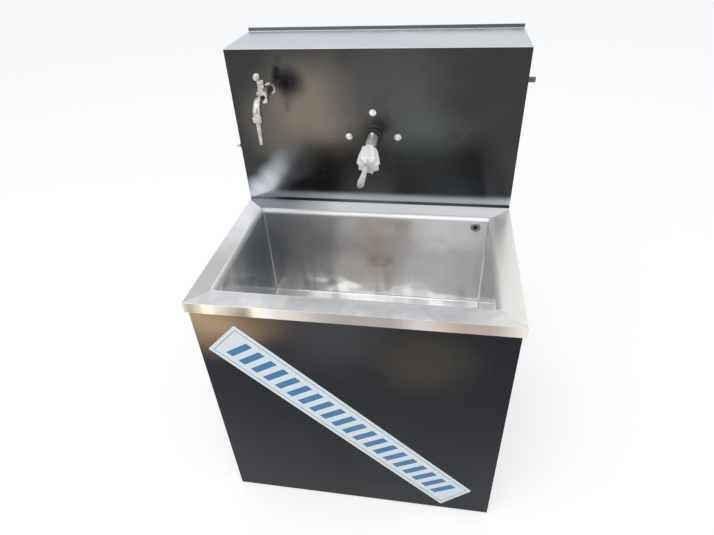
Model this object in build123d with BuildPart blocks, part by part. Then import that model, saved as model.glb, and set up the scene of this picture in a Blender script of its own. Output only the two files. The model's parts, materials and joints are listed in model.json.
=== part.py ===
from build123d import *
import os
from math import cos, radians, sin

# Bottle washing machine: a sink cabinet with a splash-back box on its rear deck. A flange motor in
# the box turns a bottle brush over the basin, and a tap beside it rinses the bottles.
# Millimetres, +Z up, front towards -Y, origin on the floor under the middle of the machine.

# Sink top and basin
rim_width = 750.0
rim_height = 732.0
rim_border = 58.5
rim_lip = 28.0
rim_overhang = 6.0
rim_sheet = 1.5
rim_seam = 0.3
rim_bend = 1.2
basin_length = 363.0
basin_drop = 290.0
basin_sheet = 1.2
basin_corner = 4.0
basin_roll = 12.0
back_strip = 64.0

# Cabinet
panel_sheet = 1.2
panel_floor_gap = 4.0
panel_return = 26.0
panel_joint = 0.5
panel_top_gap = 2.5
rear_panel_fold = 18.0
tube_side = 25.0
tube_wall = 1.5
foot_height = 8.0
foot_radius = 12.0
foot_plug = 22.0
foot_plug_gap = 0.1
foot_edge = 1.2

# Splash-back box
splash_sheet = 2.0
splash_edge = 0.8
box_sheet = 1.2
box_fold = 20.0
box_fold_notch = 5.0
rear_recess = 22.0
rear_upstand = 10.0
rear_air = 23.0
top_edge = 0.8
top_fold = 16.0
top_fold_margin = 8.0
cover_fold = 18.0
cover_side_gap = 0.5
slot_length = 70.0
slot_height = 6.0
slot_rows = 7
slot_columns = 3
slot_pitch_x = 95.0
slot_pitch_z = 18.0

# Casing screws
screw_radius = 2.0
screw_hole_gap = 0.1
screw_length = 6.0
screw_head_radius = 4.0
screw_head_height = 2.4
screw_head_edge = 1.0
screw_margin = 60.0
top_screw_margin = 30.0
screw_rows = 3
recess_width = 1.0
recess_depth = 1.2

# Motor, measured along the shaft from the flange face
spindle_height = 200.0
bolt_circle_radius = 65.0
bolt_count = 4
bolt_radius = 4.0
bolt_hole_gap = 0.1
bolt_flange_radius = 9.0
bolt_flange_height = 2.0
bolt_flats = 13.0
bolt_head_height = 8.0
bolt_dome = 2.0
bolt_end_gap = 0.5
flange_radius = 80.0
flange_thick = 10.0
flange_edge = 1.5
frame_radius = 62.0
frame_wall = 5.0
frame_length = 100.0
fin_height = 6.0
fin_thick = 2.5
fin_count = 28
fin_root = 1.0
pad_height = 10.0
shield_thick = 8.0
bearing_radius = 20.0
bearing_width = 12.0
bearing_wall = 7.0
bearing_seat_gap = 0.03
journal_radius = 8.5
running_gap = 0.05
shaft_radius = 7.0
shaft_reach = 30.0
shaft_clear = 0.5
shaft_chamfer = 0.75
fan_seat_radius = 6.0
stator_length = 60.0
stator_depth = 16.45
stator_fit_gap = 0.05
air_gap = 0.5
winding_length = 12.0
winding_depth = 11.0
winding_gap = 4.0
winding_edge = 1.5
fan_radius = 52.0
fan_hub_radius = 12.0
fan_width = 20.0
fan_plate = 2.0
fan_blade = 2.0
fan_blades = 9
fan_root = 1.0
fan_gap = 4.0
cowl_sheet = 1.2
cowl_lap = 6.0
cowl_fit_gap = 0.05
cowl_length = 40.0
cowl_slots = 12
cowl_slot_width = 4.0
cowl_slot_inner = 14.0
cowl_slot_outer = 54.0
terminal_side = 64.0
terminal_height = 36.0
terminal_lid = 3.0
terminal_edge = 3.0
capacitor_radius = 17.5
capacitor_height = 75.0
capacitor_edge = 3.0
clip_radius = 21.0
clip_height = 4.0
capacitor_clear = 45.0

# Spindle and brush, measured outwards from the splash panel's face, and from the stem's bend on
shaft_hole_gap = 13.0
slinger_clear = 2.0
slinger_radius = 24.0
slinger_hub_radius = 16.0
slinger_width = 9.0
slinger_lip = 3.0
chuck_length = 60.0
chuck_radius = 14.0
chuck_nose_radius = 9.0
chuck_nose = 22.0
chuck_gap = 0.5
chuck_bore_gap = 0.05
chuck_screw_radius = 3.0
chuck_screw_head = 5.0
chuck_screw_rise = 4.0
stem_radius = 3.0
stem_grip = 25.0
stem_free = 5.5
stem_bend = 25.0
stem_droop = 16.0
bell_start = 4.5
bell_length = 68.0
bell_rear_radius = 19.0
bell_radius = 31.0
bell_turn = 0.95
bell_fall = 0.06
core_radius = 4.6
core_cap = 8.0
strand_radius = 0.35
strand_root = 0.6
ring_count = 14
ring_strands = 18
tuft_length = 66.0
tuft_radius = 7.0
tuft_rings = 3
tuft_strands = 8
tuft_margin = 1.2

# Water: tap, inlet and feed pipe
pipe_radius = 7.5
pipe_wall = 1.0
pipe_fit_gap = 0.05
pipe_insert = 11.0
pipe_end_gap = 1.0
pipe_clear = 18.5
pipe_bend = 20.0
pipe_slope_bend = 120.0
pipe_slope_run = 65.0
feed_depth = 50.0
feed_headroom = 88.0
feed_drop = 7.0
thread_radius = 10.48
thread_hole_gap = 0.3
thread_nut_gap = 0.05
thread_chamfer = 0.75
locknut_flats = 27.0
locknut_thick = 8.0
inlet_reach = 23.0
inlet_hex = 5.0
inlet_end_radius = 6.58
inlet_bore = 4.0
inlet_tail = 25.0
tap_inset = 110.0
tap_tail = 26.0
tap_flange_radius = 15.0
tap_flange_thick = 6.0
tap_barrel_radius = 12.0
tap_valve_out = 66.0
tap_valve_radius = 15.0
tap_valve_half = 14.0
tap_bonnet_height = 8.0
tap_gland_radius = 9.5
tap_gland_height = 7.0
tap_spout_out = 122.0
tap_spout_radius = 10.0
tap_spout_bend = 28.0
tap_spout_drop = 30.0
tap_collar_radius = 12.5
tap_collar_height = 14.0
nozzle_length = 59.0
nozzle_top_radius = 7.0
nozzle_tip_radius = 5.2
nozzle_bore = 3.0
handle_spindle_radius = 4.5
handle_depth = 16.0
handle_gap = 1.0
handle_hub_radius = 9.5
handle_hub_height = 10.0
handle_rod_radius = 4.0
handle_lean = 22.0
handle_rise = 12.0
handle_ball_radius = 9.5
handle_grip_length = 17.0

# Drain and overflow
drain_hole_radius = 24.5
drain_flange_radius = 38.0
drain_flange_thick = 2.0
drain_sleeve_gap = 0.4
drain_wall = 2.0
drain_sleeve_length = 40.0
drain_grid_depth = 14.0
drain_grid_thick = 2.0
drain_grid_hole = 2.5
drain_grid_pitch = 8.0
drain_grid_rows = 2
drain_grid_step = 6
drain_nut_flats = 66.0
drain_nut_thick = 8.0
drain_nut_edge = 0.3
drain_body_length = 70.0
drain_body_lap = 18.0
drain_body_wall = 3.0
waste_radius = 20.0
waste_wall = 2.5
spigot_radius = 19.0
spigot_length = 20.0
waste_insert = 14.0
waste_hole_gap = 0.3
waste_bend = 60.0
waste_fall = 34.0
overflow_inset = 33.0
overflow_depth = 27.0
overflow_radius = 9.0
overflow_hole_gap = 0.3
overflow_rose_radius = 14.0
overflow_rose_thick = 2.0
overflow_barrel = 30.0
overflow_bore = 6.0
overflow_cap = 2.0
nipple_radius = 7.0
nipple_bore = 5.0
nipple_length = 16.0
hose_wall = 3.0
hose_fit_gap = 0.05
hose_bend = 70.0
hose_port_out = 8.0
hose_end_gap = 0.3

# Switch, cable gland and leads
switch_height = 158.0
switch_depth = 25.0
switch_reach = 23.0
switch_block = (28.0, 26.0, 32.0)
switch_bush_radius = 6.0
switch_bush_reach = 11.0
switch_nut_flats = 17.0
switch_nut_thick = 3.0
switch_hole_gap = 0.3
switch_pivot_depth = 3.5
lever_ball_radius = 4.0
lever_gap = 0.35
lever_neck_radius = 2.0
lever_tip_radius = 3.4
lever_tilt = 12.0
lever_mouth = 3.5
trunnion_radius = 1.2
trunnion_reach = 5.2
trunnion_end_gap = 0.2
gland_inset = 125.0
gland_height = 70.0
gland_thread_radius = 8.0
gland_bore = 4.5
gland_flats = 22.0
gland_hex = 6.0
gland_dome = 12.0
gland_nut = 4.0
gland_hole_gap = 0.3
lead_radius = 3.5
lead_run = 95.0
lead_bend = 90.0
capacitor_lead_bend = 30.0

# Places worked out from the sizes
half_width = rim_width / 2
basin_half = half_width - rim_border
motor_length = flange_thick + frame_length + shield_thick - cowl_lap + cowl_length
box_depth = splash_sheet + motor_length + rear_air + box_sheet + rear_recess
overall_depth = rim_border + basin_length + back_strip + box_depth
front_y = -overall_depth / 2
back_y = overall_depth / 2
basin_front_y = front_y + rim_border
basin_back_y = basin_front_y + basin_length
basin_mid_y = (basin_front_y + basin_back_y) / 2
face_y = basin_back_y + back_strip
motor_y = face_y + splash_sheet
cover_y = motor_y + motor_length + rear_air
deck_z = rim_height - rim_sheet
basin_floor_z = rim_height - basin_drop
cabinet_half = half_width - rim_overhang
cabinet_front_y = front_y + rim_overhang
cabinet_back_y = back_y - rim_overhang
panel_top_z = deck_z - panel_top_gap
post_x = cabinet_half - panel_sheet - tube_side / 2
post_front_y = cabinet_front_y + panel_sheet + tube_side / 2
post_back_y = cabinet_back_y - panel_sheet - tube_side / 2
spindle_z = rim_height + spindle_height
pad_top = frame_radius + pad_height
feed_z = spindle_z + pad_top + terminal_height + pipe_clear + pipe_radius
box_top_z = feed_z + feed_headroom
sheet_top_z = box_top_z - box_sheet
feed_y = face_y + feed_depth
tap_x = -half_width + tap_inset
tap_z = feed_z - feed_drop
switch_y = face_y + switch_depth
switch_z = rim_height + switch_height
inner_half = half_width - box_sheet

stand = (Align.CENTER, Align.CENTER, Align.MIN)
hang = (Align.CENTER, Align.CENTER, Align.MAX)
shaft_plane = Plane((0, motor_y, spindle_z), x_dir=(1, 0, 0), z_dir=(0, 1, 0))
out_plane = Plane((0, face_y, spindle_z), x_dir=(1, 0, 0), z_dir=(0, -1, 0))

os.makedirs("parts", exist_ok=True)


def keep(piece, label):
    piece.part.label = label
    export_step(piece.part, f"parts/{label}.step")


def spaced(low, high, count):
    return [low + (high - low) * i / (count - 1) for i in range(count)]


# Casing screws sit on planes whose normals point out of the sheet they hold
post_screw_heights = spaced(panel_floor_gap + screw_margin, panel_top_z - screw_margin, screw_rows)
cover_screw_heights = spaced(rim_height + screw_margin, sheet_top_z - screw_margin, screw_rows)
top_screw_depths = spaced(face_y + top_screw_margin, cover_y - top_screw_margin, screw_rows)
cover_screw_y = cover_y + box_sheet + cover_fold / 2
top_screw_z = sheet_top_z - top_fold / 2


def post_screws(side):
    return [
        Plane((side * post_x, cabinet_back_y, z), x_dir=(1, 0, 0), z_dir=(0, 1, 0))
        for z in post_screw_heights
    ]


def cover_screws(side):
    return [
        Plane((side * half_width, cover_screw_y, z), x_dir=(0, 1, 0), z_dir=(side, 0, 0))
        for z in cover_screw_heights
    ]


def top_screws(side):
    return [
        Plane((side * half_width, y, top_screw_z), x_dir=(0, 1, 0), z_dir=(side, 0, 0))
        for y in top_screw_depths
    ]


screw_hole_radius = screw_radius + screw_hole_gap
sides = {"left": -1, "right": 1}

# Frame tubes
post_length = deck_z - foot_height
rail_reach = post_back_y - post_front_y - tube_side
cross_reach = 2 * post_x - tube_side


def square_tube(plane, length):
    with BuildPart() as piece:
        with BuildSketch(plane):
            Rectangle(tube_side, tube_side)
            Rectangle(tube_side - 2 * tube_wall, tube_side - 2 * tube_wall, mode=Mode.SUBTRACT)
        extrude(amount=length)
    return piece


for name, side in sides.items():
    keep(square_tube(Plane((side * post_x, post_front_y, foot_height)), post_length), f"post_front_{name}")

    with BuildPart() as rear_post:
        with BuildSketch(Plane((side * post_x, post_back_y, foot_height))):
            Rectangle(tube_side, tube_side)
            Rectangle(tube_side - 2 * tube_wall, tube_side - 2 * tube_wall, mode=Mode.SUBTRACT)
        extrude(amount=post_length)
        with Locations(*post_screws(side)):
            Hole(screw_hole_radius, depth=panel_sheet + tube_side / 2)
    keep(rear_post, f"post_rear_{name}")

    for level, z in {"bottom": foot_height + tube_side / 2, "top": deck_z - tube_side / 2}.items():
        rail_start = Plane((side * post_x, post_front_y + tube_side / 2, z), x_dir=(1, 0, 0), z_dir=(0, 1, 0))
        keep(square_tube(rail_start, rail_reach), f"{level}_rail_{name}")

rear_rail_start = Plane(
    (-post_x + tube_side / 2, post_back_y, foot_height + tube_side / 2), x_dir=(0, 1, 0), z_dir=(1, 0, 0)
)
keep(square_tube(rear_rail_start, cross_reach), "bottom_rail_rear")

deck_rail_y = face_y + tube_side / 2
deck_rail_start = Plane(
    (-post_x + tube_side / 2, deck_rail_y, deck_z - tube_side / 2), x_dir=(0, 1, 0), z_dir=(1, 0, 0)
)
keep(square_tube(deck_rail_start, cross_reach), "deck_rail")

# Glide feet plug into the posts
plug_side = tube_side - 2 * tube_wall - 2 * foot_plug_gap
with BuildPart() as glide_feet:
    with Locations(*[(x, y, 0) for x in (-post_x, post_x) for y in (post_front_y, post_back_y)]):
        Cylinder(foot_radius, foot_height, align=stand)
    with Locations(*[(x, y, foot_height) for x in (-post_x, post_x) for y in (post_front_y, post_back_y)]):
        Box(plug_side, plug_side, foot_plug, align=stand)
    fillet(glide_feet.edges().group_by(Axis.Z)[0], foot_edge)
keep(glide_feet, "glide_feet")

# Cabinet panels, folded round the posts
panel_height = panel_top_z - panel_floor_gap
with BuildPart() as front_panel:
    with BuildSketch(Plane.XY.offset(panel_floor_gap)):
        with Locations((0, cabinet_front_y)):
            Rectangle(2 * cabinet_half, panel_return, align=(Align.CENTER, Align.MIN))
        with Locations((0, cabinet_front_y + panel_sheet)):
            Rectangle(
                2 * (cabinet_half - panel_sheet),
                panel_return,
                align=(Align.CENTER, Align.MIN),
                mode=Mode.SUBTRACT,
            )
    extrude(amount=panel_height)
    fillet(front_panel.edges().filter_by(Axis.Z).group_by(Axis.Y)[0], panel_sheet)
keep(front_panel, "front_panel")

side_panel_start = cabinet_front_y + panel_return + panel_joint
for name, side in sides.items():
    with BuildPart() as side_panel:
        with BuildSketch(Plane.XY.offset(panel_floor_gap)):
            outer_x = side * cabinet_half
            inner_x = side * (cabinet_half - panel_sheet)
            return_x = side * (cabinet_half - panel_return)
            Polygon(
                (outer_x, side_panel_start),
                (outer_x, cabinet_back_y),
                (return_x, cabinet_back_y),
                (return_x, cabinet_back_y - panel_sheet),
                (inner_x, cabinet_back_y - panel_sheet),
                (inner_x, side_panel_start),
                align=None,
            )
        extrude(amount=panel_height)
        rear_bend = side_panel.edges().filter_by(Axis.Z).group_by(Axis.Y)[-1]
        fillet(rear_bend.sort_by(Axis((0, 0, 0), (side, 0, 0)))[-1], panel_sheet)
        with Locations(*post_screws(side)):
            Hole(screw_hole_radius, depth=2 * panel_sheet)
    keep(side_panel, f"{name}_panel")

# The lower rear panel stands between the rear posts, set in behind the waste outlet
rear_half = post_x - tube_side / 2
rear_panel_y = post_back_y - tube_side / 2
drain_bottom_z = basin_floor_z - drain_sleeve_length + drain_body_lap - drain_body_length
waste_z = drain_bottom_z - waste_fall - waste_bend
with BuildPart() as rear_panel:
    with BuildSketch(Plane.XY.offset(foot_height + tube_side)):
        with Locations((0, rear_panel_y)):
            Rectangle(2 * rear_half, rear_panel_fold, align=(Align.CENTER, Align.MIN))
        with Locations((0, rear_panel_y + panel_sheet)):
            Rectangle(
                2 * (rear_half - panel_sheet),
                rear_panel_fold,
                align=(Align.CENTER, Align.MIN),
                mode=Mode.SUBTRACT,
            )
    extrude(amount=panel_top_z - tube_side - foot_height)
    with Locations(Plane((0, rear_panel_y, waste_z), x_dir=(1, 0, 0), z_dir=(0, 1, 0))):
        Cylinder(waste_radius + waste_hole_gap, 4 * panel_sheet, mode=Mode.SUBTRACT)
keep(rear_panel, "rear_panel")

# Outline of the basin seen from above, widened all round
def basin_outline(widening, mode=Mode.ADD):
    with Locations((0, basin_mid_y)):
        RectangleRounded(
            2 * (basin_half + widening),
            basin_length + 2 * widening,
            basin_corner + widening,
            mode=mode,
        )


# Rim strips, mitred at the corners and cut out for the basin's rolled edge
mitre = rim_border + 2 * basin_corner
rim_back_y = basin_back_y + rim_border


def rim_strip(outline, lip_outline, outwards):
    with BuildPart() as piece:
        with BuildSketch(Plane.XY.offset(deck_z)):
            Polygon(*outline, align=None)
            basin_outline(basin_roll, Mode.SUBTRACT)
        extrude(amount=rim_sheet)
        with BuildSketch(Plane.XY.offset(rim_height - rim_lip)):
            Polygon(*lip_outline, align=None)
        extrude(amount=rim_lip)
        fillet(piece.edges().group_by(Axis.Z)[-1].sort_by(outwards)[-1], rim_bend)
    return piece


front_end = half_width - rim_seam
front_outline = [
    (-front_end, front_y),
    (front_end, front_y),
    (front_end - mitre, front_y + mitre),
    (-front_end + mitre, front_y + mitre),
]
front_lip = [
    (-front_end, front_y),
    (front_end, front_y),
    (front_end - rim_sheet, front_y + rim_sheet),
    (-front_end + rim_sheet, front_y + rim_sheet),
]
keep(rim_strip(front_outline, front_lip, Axis((0, 0, 0), (0, -1, 0))), "rim_front")

for name, side in sides.items():
    edge_x = side * half_width
    inner_x = side * (half_width - mitre)
    lip_x = side * (half_width - rim_sheet)
    rear_end = rim_back_y - rim_seam
    side_outline = [
        (edge_x, front_y),
        (inner_x, front_y + mitre),
        (inner_x, rear_end - mitre),
        (edge_x, rear_end),
    ]
    side_lip = [
        (edge_x, front_y),
        (lip_x, front_y + rim_sheet),
        (lip_x, rear_end - rim_sheet),
        (edge_x, rear_end),
    ]
    keep(rim_strip(side_outline, side_lip, Axis((0, 0, 0), (side, 0, 0))), f"rim_{name}")

with BuildPart() as rear_deck:
    with BuildSketch(Plane.XY.offset(deck_z)):
        Polygon(
            (-half_width, rim_back_y),
            (-half_width + mitre, rim_back_y - mitre),
            (half_width - mitre, rim_back_y - mitre),
            (half_width, rim_back_y),
            (half_width, back_y),
            (-half_width, back_y),
            align=None,
        )
        basin_outline(basin_roll, Mode.SUBTRACT)
    extrude(amount=rim_sheet)
    with BuildSketch(Plane.XY.offset(rim_height - rim_lip)):
        Polygon(
            (-half_width, rim_back_y),
            (-half_width, back_y),
            (half_width, back_y),
            (half_width, rim_back_y),
            (half_width - rim_sheet, rim_back_y - rim_sheet),
            (half_width - rim_sheet, back_y - rim_sheet),
            (-half_width + rim_sheet, back_y - rim_sheet),
            (-half_width + rim_sheet, rim_back_y - rim_sheet),
            align=None,
        )
    extrude(amount=rim_lip)
    deck_edges = rear_deck.edges().group_by(Axis.Z)[-1]
    side_edges = [deck_edges.sort_by(Axis.X)[0], deck_edges.sort_by(Axis.X)[-1]]
    fillet([*side_edges, deck_edges.sort_by(Axis.Y)[-1]], rim_bend)
keep(rear_deck, "rear_deck")

# A block as deep as the basin, with its lower edges rounded and its upper edge rolled outwards
def rolled_block(wall):
    top_z = rim_height - wall
    with BuildPart() as block:
        with BuildSketch(Plane.XY.offset(top_z)):
            basin_outline(2 * basin_roll)
        extrude(amount=basin_roll)
        with BuildSketch(Plane.XY.offset(top_z)):
            basin_outline(wall)
        extrude(amount=-basin_drop)
        fillet(block.edges().group_by(Axis.Z)[0], basin_corner + wall)
        neck = block.edges().filter_by_position(Axis.Z, top_z, top_z)
        neck = neck.filter_by_position(Axis.X, -basin_half - wall, basin_half + wall)
        neck = neck.filter_by_position(Axis.Y, basin_front_y - wall, basin_back_y + wall)
        fillet(neck, basin_roll - wall)
    return block.part


# Basin, its rolled edge flush with the rim strips around it
overflow_x = basin_half - overflow_inset
overflow_z = rim_height - overflow_depth
overflow_plane = Plane((overflow_x, basin_back_y, overflow_z), x_dir=(1, 0, 0), z_dir=(0, 1, 0))
with BuildPart() as basin:
    add(rolled_block(basin_sheet))
    with BuildSketch(Plane.XY.offset(rim_height)):
        basin_outline(basin_roll)
    extrude(amount=-2 * basin_drop, mode=Mode.INTERSECT)
    add(rolled_block(0), mode=Mode.SUBTRACT)
    with Locations((0, basin_mid_y, basin_floor_z)):
        Cylinder(drain_hole_radius, 4 * basin_sheet, mode=Mode.SUBTRACT)
    with Locations(overflow_plane):
        Cylinder(overflow_radius + overflow_hole_gap, 4 * basin_sheet, mode=Mode.SUBTRACT)
keep(basin, "basin")

# Drain: strainer and sleeve through the floor, nut below, body with a port for the overflow
sleeve_radius = drain_hole_radius - drain_sleeve_gap
drain_top = Plane((0, basin_mid_y, basin_floor_z))
with BuildPart() as drain_strainer:
    with Locations(drain_top):
        Cylinder(drain_flange_radius, drain_flange_thick, align=stand)
        Cylinder(sleeve_radius, drain_sleeve_length, align=hang)
    with Locations(drain_top.offset(drain_flange_thick)):
        Cylinder(
            sleeve_radius - drain_wall,
            drain_flange_thick + drain_sleeve_length,
            align=hang,
            mode=Mode.SUBTRACT,
        )
    fillet(drain_strainer.edges().group_by(Axis.Z)[-1].sort_by(SortBy.RADIUS)[-1], drain_flange_thick / 2)
    with BuildSketch(drain_top.offset(-drain_grid_depth)):
        Circle(sleeve_radius - drain_wall)
        Circle(drain_grid_hole, mode=Mode.SUBTRACT)
        for row in range(1, drain_grid_rows + 1):
            with PolarLocations(row * drain_grid_pitch, row * drain_grid_step):
                Circle(drain_grid_hole, mode=Mode.SUBTRACT)
    extrude(amount=-drain_grid_thick)
keep(drain_strainer, "drain_strainer")

with BuildPart() as drain_nut:
    with BuildSketch(drain_top.offset(-basin_sheet)):
        RegularPolygon(drain_nut_flats / 2, 6, major_radius=False)
        Circle(sleeve_radius + thread_nut_gap, mode=Mode.SUBTRACT)
    extrude(amount=-drain_nut_thick)
    chamfer(drain_nut.edges().filter_by(GeomType.LINE).group_by(Axis.Z)[0], drain_nut_edge)
keep(drain_nut, "drain_nut")

body_top_z = drain_bottom_z + drain_body_length
body_radius = sleeve_radius + drain_body_wall
waste_seat_radius = waste_radius + pipe_fit_gap
port_z = drain_bottom_z + waste_insert + drain_body_wall + nipple_radius + drain_body_wall
port_plane = Plane((0, basin_mid_y, port_z), x_dir=(0, 1, 0), z_dir=(1, 0, 0))
port_start = body_radius + hose_port_out
with BuildPart() as drain_body:
    with Locations((0, basin_mid_y, drain_bottom_z)):
        Cylinder(body_radius, drain_body_length, align=stand)
    with Locations(port_plane):
        Cylinder(nipple_radius + hose_wall, port_start, align=stand)
        Cylinder(nipple_radius, port_start + nipple_length, align=stand)
        Cylinder(nipple_bore, port_start + nipple_length, align=stand, mode=Mode.SUBTRACT)
    with Locations((0, basin_mid_y, body_top_z)):
        Cylinder(sleeve_radius + thread_nut_gap, drain_body_lap, align=hang, mode=Mode.SUBTRACT)
        Cylinder(waste_radius - waste_wall, drain_body_length, align=hang, mode=Mode.SUBTRACT)
    with Locations((0, basin_mid_y, drain_bottom_z)):
        Cylinder(waste_seat_radius, waste_insert, align=stand, mode=Mode.SUBTRACT)
keep(drain_body, "drain_body")

waste_end_y = cabinet_back_y
with BuildPart() as waste_pipe:
    with BuildLine() as waste_path:
        FilletPolyline(
            (0, basin_mid_y, drain_bottom_z + waste_insert),
            (0, basin_mid_y, waste_z),
            (0, waste_end_y, waste_z),
            radius=waste_bend,
        )
    with BuildSketch(Plane(waste_path.line @ 0, z_dir=waste_path.line % 0)):
        Circle(waste_radius)
        Circle(waste_radius - waste_wall, mode=Mode.SUBTRACT)
    sweep()
    with BuildSketch(Plane((0, waste_end_y, waste_z), x_dir=(1, 0, 0), z_dir=(0, 1, 0))):
        Circle(waste_radius + waste_wall)
        Circle(spigot_radius, mode=Mode.SUBTRACT)
    extrude(amount=-spigot_length, mode=Mode.SUBTRACT)
keep(waste_pipe, "waste_pipe")

# Overflow: a rose through the rear wall, and a hose from its nipple to the drain body
nipple_y = basin_back_y + overflow_barrel - overflow_radius
with BuildPart() as overflow_fitting:
    with Locations(overflow_plane):
        Cylinder(overflow_rose_radius, overflow_rose_thick, align=hang)
        Cylinder(overflow_radius, overflow_barrel, align=stand)
    with Locations((overflow_x, nipple_y, overflow_z)):
        Cylinder(nipple_radius, overflow_radius + nipple_length, align=hang)
        Cylinder(nipple_bore, overflow_radius + nipple_length, align=hang, mode=Mode.SUBTRACT)
    with Locations(overflow_plane.offset(-overflow_rose_thick)):
        Cylinder(
            overflow_bore,
            overflow_rose_thick + overflow_barrel - overflow_cap,
            align=stand,
            mode=Mode.SUBTRACT,
        )
    fillet(overflow_fitting.edges().group_by(Axis.Y)[0].sort_by(SortBy.RADIUS)[-1], overflow_rose_thick / 2)
keep(overflow_fitting, "overflow_fitting")

with BuildPart() as overflow_hose:
    with BuildLine() as hose_path:
        FilletPolyline(
            (overflow_x, nipple_y, overflow_z - overflow_radius - hose_end_gap),
            (overflow_x, nipple_y, port_z),
            (overflow_x, basin_mid_y, port_z),
            (port_start + hose_end_gap, basin_mid_y, port_z),
            radius=hose_bend,
        )
    with BuildSketch(Plane(hose_path.line @ 0, z_dir=hose_path.line % 0)):
        Circle(nipple_radius + hose_wall)
        Circle(nipple_radius + hose_fit_gap, mode=Mode.SUBTRACT)
    sweep()
keep(overflow_hose, "overflow_hose")

# Splash panel, with holes for the shaft, the flange bolts and the tap
shaft_hole_radius = shaft_radius + shaft_hole_gap
bolt_hole_radius = bolt_radius + bolt_hole_gap
tap_plane = Plane((tap_x, face_y, tap_z), x_dir=(1, 0, 0), z_dir=(0, -1, 0))
thread_hole_radius = thread_radius + thread_hole_gap
with BuildPart() as splash_panel:
    with Locations((0, face_y, rim_height)):
        Box(rim_width, splash_sheet, sheet_top_z - rim_height, align=(Align.CENTER, Align.MIN, Align.MIN))
        Box(
            2 * (inner_half - box_fold - box_fold_notch),
            splash_sheet + box_fold,
            splash_sheet,
            align=(Align.CENTER, Align.MIN, Align.MIN),
        )
    with Locations(out_plane):
        Cylinder(shaft_hole_radius, 4 * splash_sheet, mode=Mode.SUBTRACT)
        with PolarLocations(bolt_circle_radius, bolt_count):
            Cylinder(bolt_hole_radius, 4 * splash_sheet, mode=Mode.SUBTRACT)
    with Locations(tap_plane):
        Cylinder(thread_hole_radius, 4 * splash_sheet, mode=Mode.SUBTRACT)
    fillet(splash_panel.edges().filter_by(Axis.Z).group_by(Axis.Y)[0], splash_edge)
keep(splash_panel, "splash_panel")

# Box sides: a web with a front fold behind the splash panel and a bottom fold on the deck
inlet_plane = Plane((half_width, feed_y, feed_z), x_dir=(0, 1, 0), z_dir=(1, 0, 0))
switch_plane = Plane((-half_width, switch_y, switch_z), x_dir=(0, 1, 0), z_dir=(-1, 0, 0))
for name, side in sides.items():
    fitting_plane = inlet_plane if side > 0 else switch_plane
    fitting_radius = thread_hole_radius if side > 0 else switch_bush_radius + switch_hole_gap
    edge_align = (Align.MIN if side < 0 else Align.MAX, Align.MIN, Align.MIN)
    with BuildPart() as box_side:
        with Locations((side * half_width, motor_y, rim_height)):
            Box(box_sheet, back_y - motor_y, sheet_top_z - rim_height, align=edge_align)
            Box(box_sheet + box_fold, box_sheet, sheet_top_z - rim_height, align=edge_align)
            Box(box_sheet + box_fold, back_y - motor_y, box_sheet, align=edge_align)
        with Locations(*cover_screws(side), *top_screws(side)):
            Hole(screw_hole_radius, depth=2 * box_sheet)
        with Locations(fitting_plane):
            Cylinder(fitting_radius, 4 * box_sheet, mode=Mode.SUBTRACT)
    keep(box_side, f"box_{name}_panel")

# Box top with side folds and an upturned rear edge
with BuildPart() as box_top:
    with Locations((0, face_y, sheet_top_z)):
        Box(rim_width, back_y - face_y, box_sheet, align=(Align.CENTER, Align.MIN, Align.MIN))
    fillet(box_top.edges().group_by(Axis.Z)[-1].sort_by(Axis.Y)[:-1], top_edge)
    with Locations((0, back_y, sheet_top_z)):
        Box(rim_width, box_sheet, box_sheet + rear_upstand, align=(Align.CENTER, Align.MAX, Align.MIN))
    for side in sides.values():
        with Locations((side * inner_half, motor_y + top_fold_margin, sheet_top_z)):
            Box(
                box_sheet,
                cover_y - motor_y - 2 * top_fold_margin,
                top_fold,
                align=(Align.MIN if side < 0 else Align.MAX, Align.MIN, Align.MAX),
            )
        with Locations(*top_screws(side)):
            Hole(screw_hole_radius, depth=4 * box_sheet)
keep(box_top, "box_top")

# Rear cover of the box, set in between the sides, with air slots behind the motor
gland_x = -half_width + gland_inset
gland_z = rim_height + gland_height
cover_out = Plane((0, cover_y + box_sheet, spindle_z), x_dir=(1, 0, 0), z_dir=(0, 1, 0))
gland_plane = Plane((gland_x, cover_y + box_sheet, gland_z), x_dir=(1, 0, 0), z_dir=(0, 1, 0))
cover_half = inner_half - cover_side_gap
cover_bottom_z = rim_height + box_sheet + cover_side_gap
cover_height = sheet_top_z - cover_side_gap - cover_bottom_z
with BuildPart() as rear_cover:
    with BuildSketch(Plane.XY.offset(cover_bottom_z)):
        with Locations((0, cover_y)):
            Rectangle(2 * cover_half, box_sheet + cover_fold, align=(Align.CENTER, Align.MIN))
        with Locations((0, cover_y + box_sheet)):
            Rectangle(
                2 * (cover_half - box_sheet),
                cover_fold,
                align=(Align.CENTER, Align.MIN),
                mode=Mode.SUBTRACT,
            )
    extrude(amount=cover_height)
    with BuildSketch(cover_out):
        with GridLocations(slot_pitch_x, slot_pitch_z, slot_columns, slot_rows):
            SlotOverall(slot_length, slot_height)
    extrude(amount=-2 * box_sheet, mode=Mode.SUBTRACT)
    with Locations(gland_plane):
        Cylinder(gland_thread_radius + gland_hole_gap, 4 * box_sheet, mode=Mode.SUBTRACT)
    for side in sides.values():
        with Locations(*cover_screws(side)):
            Hole(screw_hole_radius, depth=4 * box_sheet)
keep(rear_cover, "rear_cover")

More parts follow.
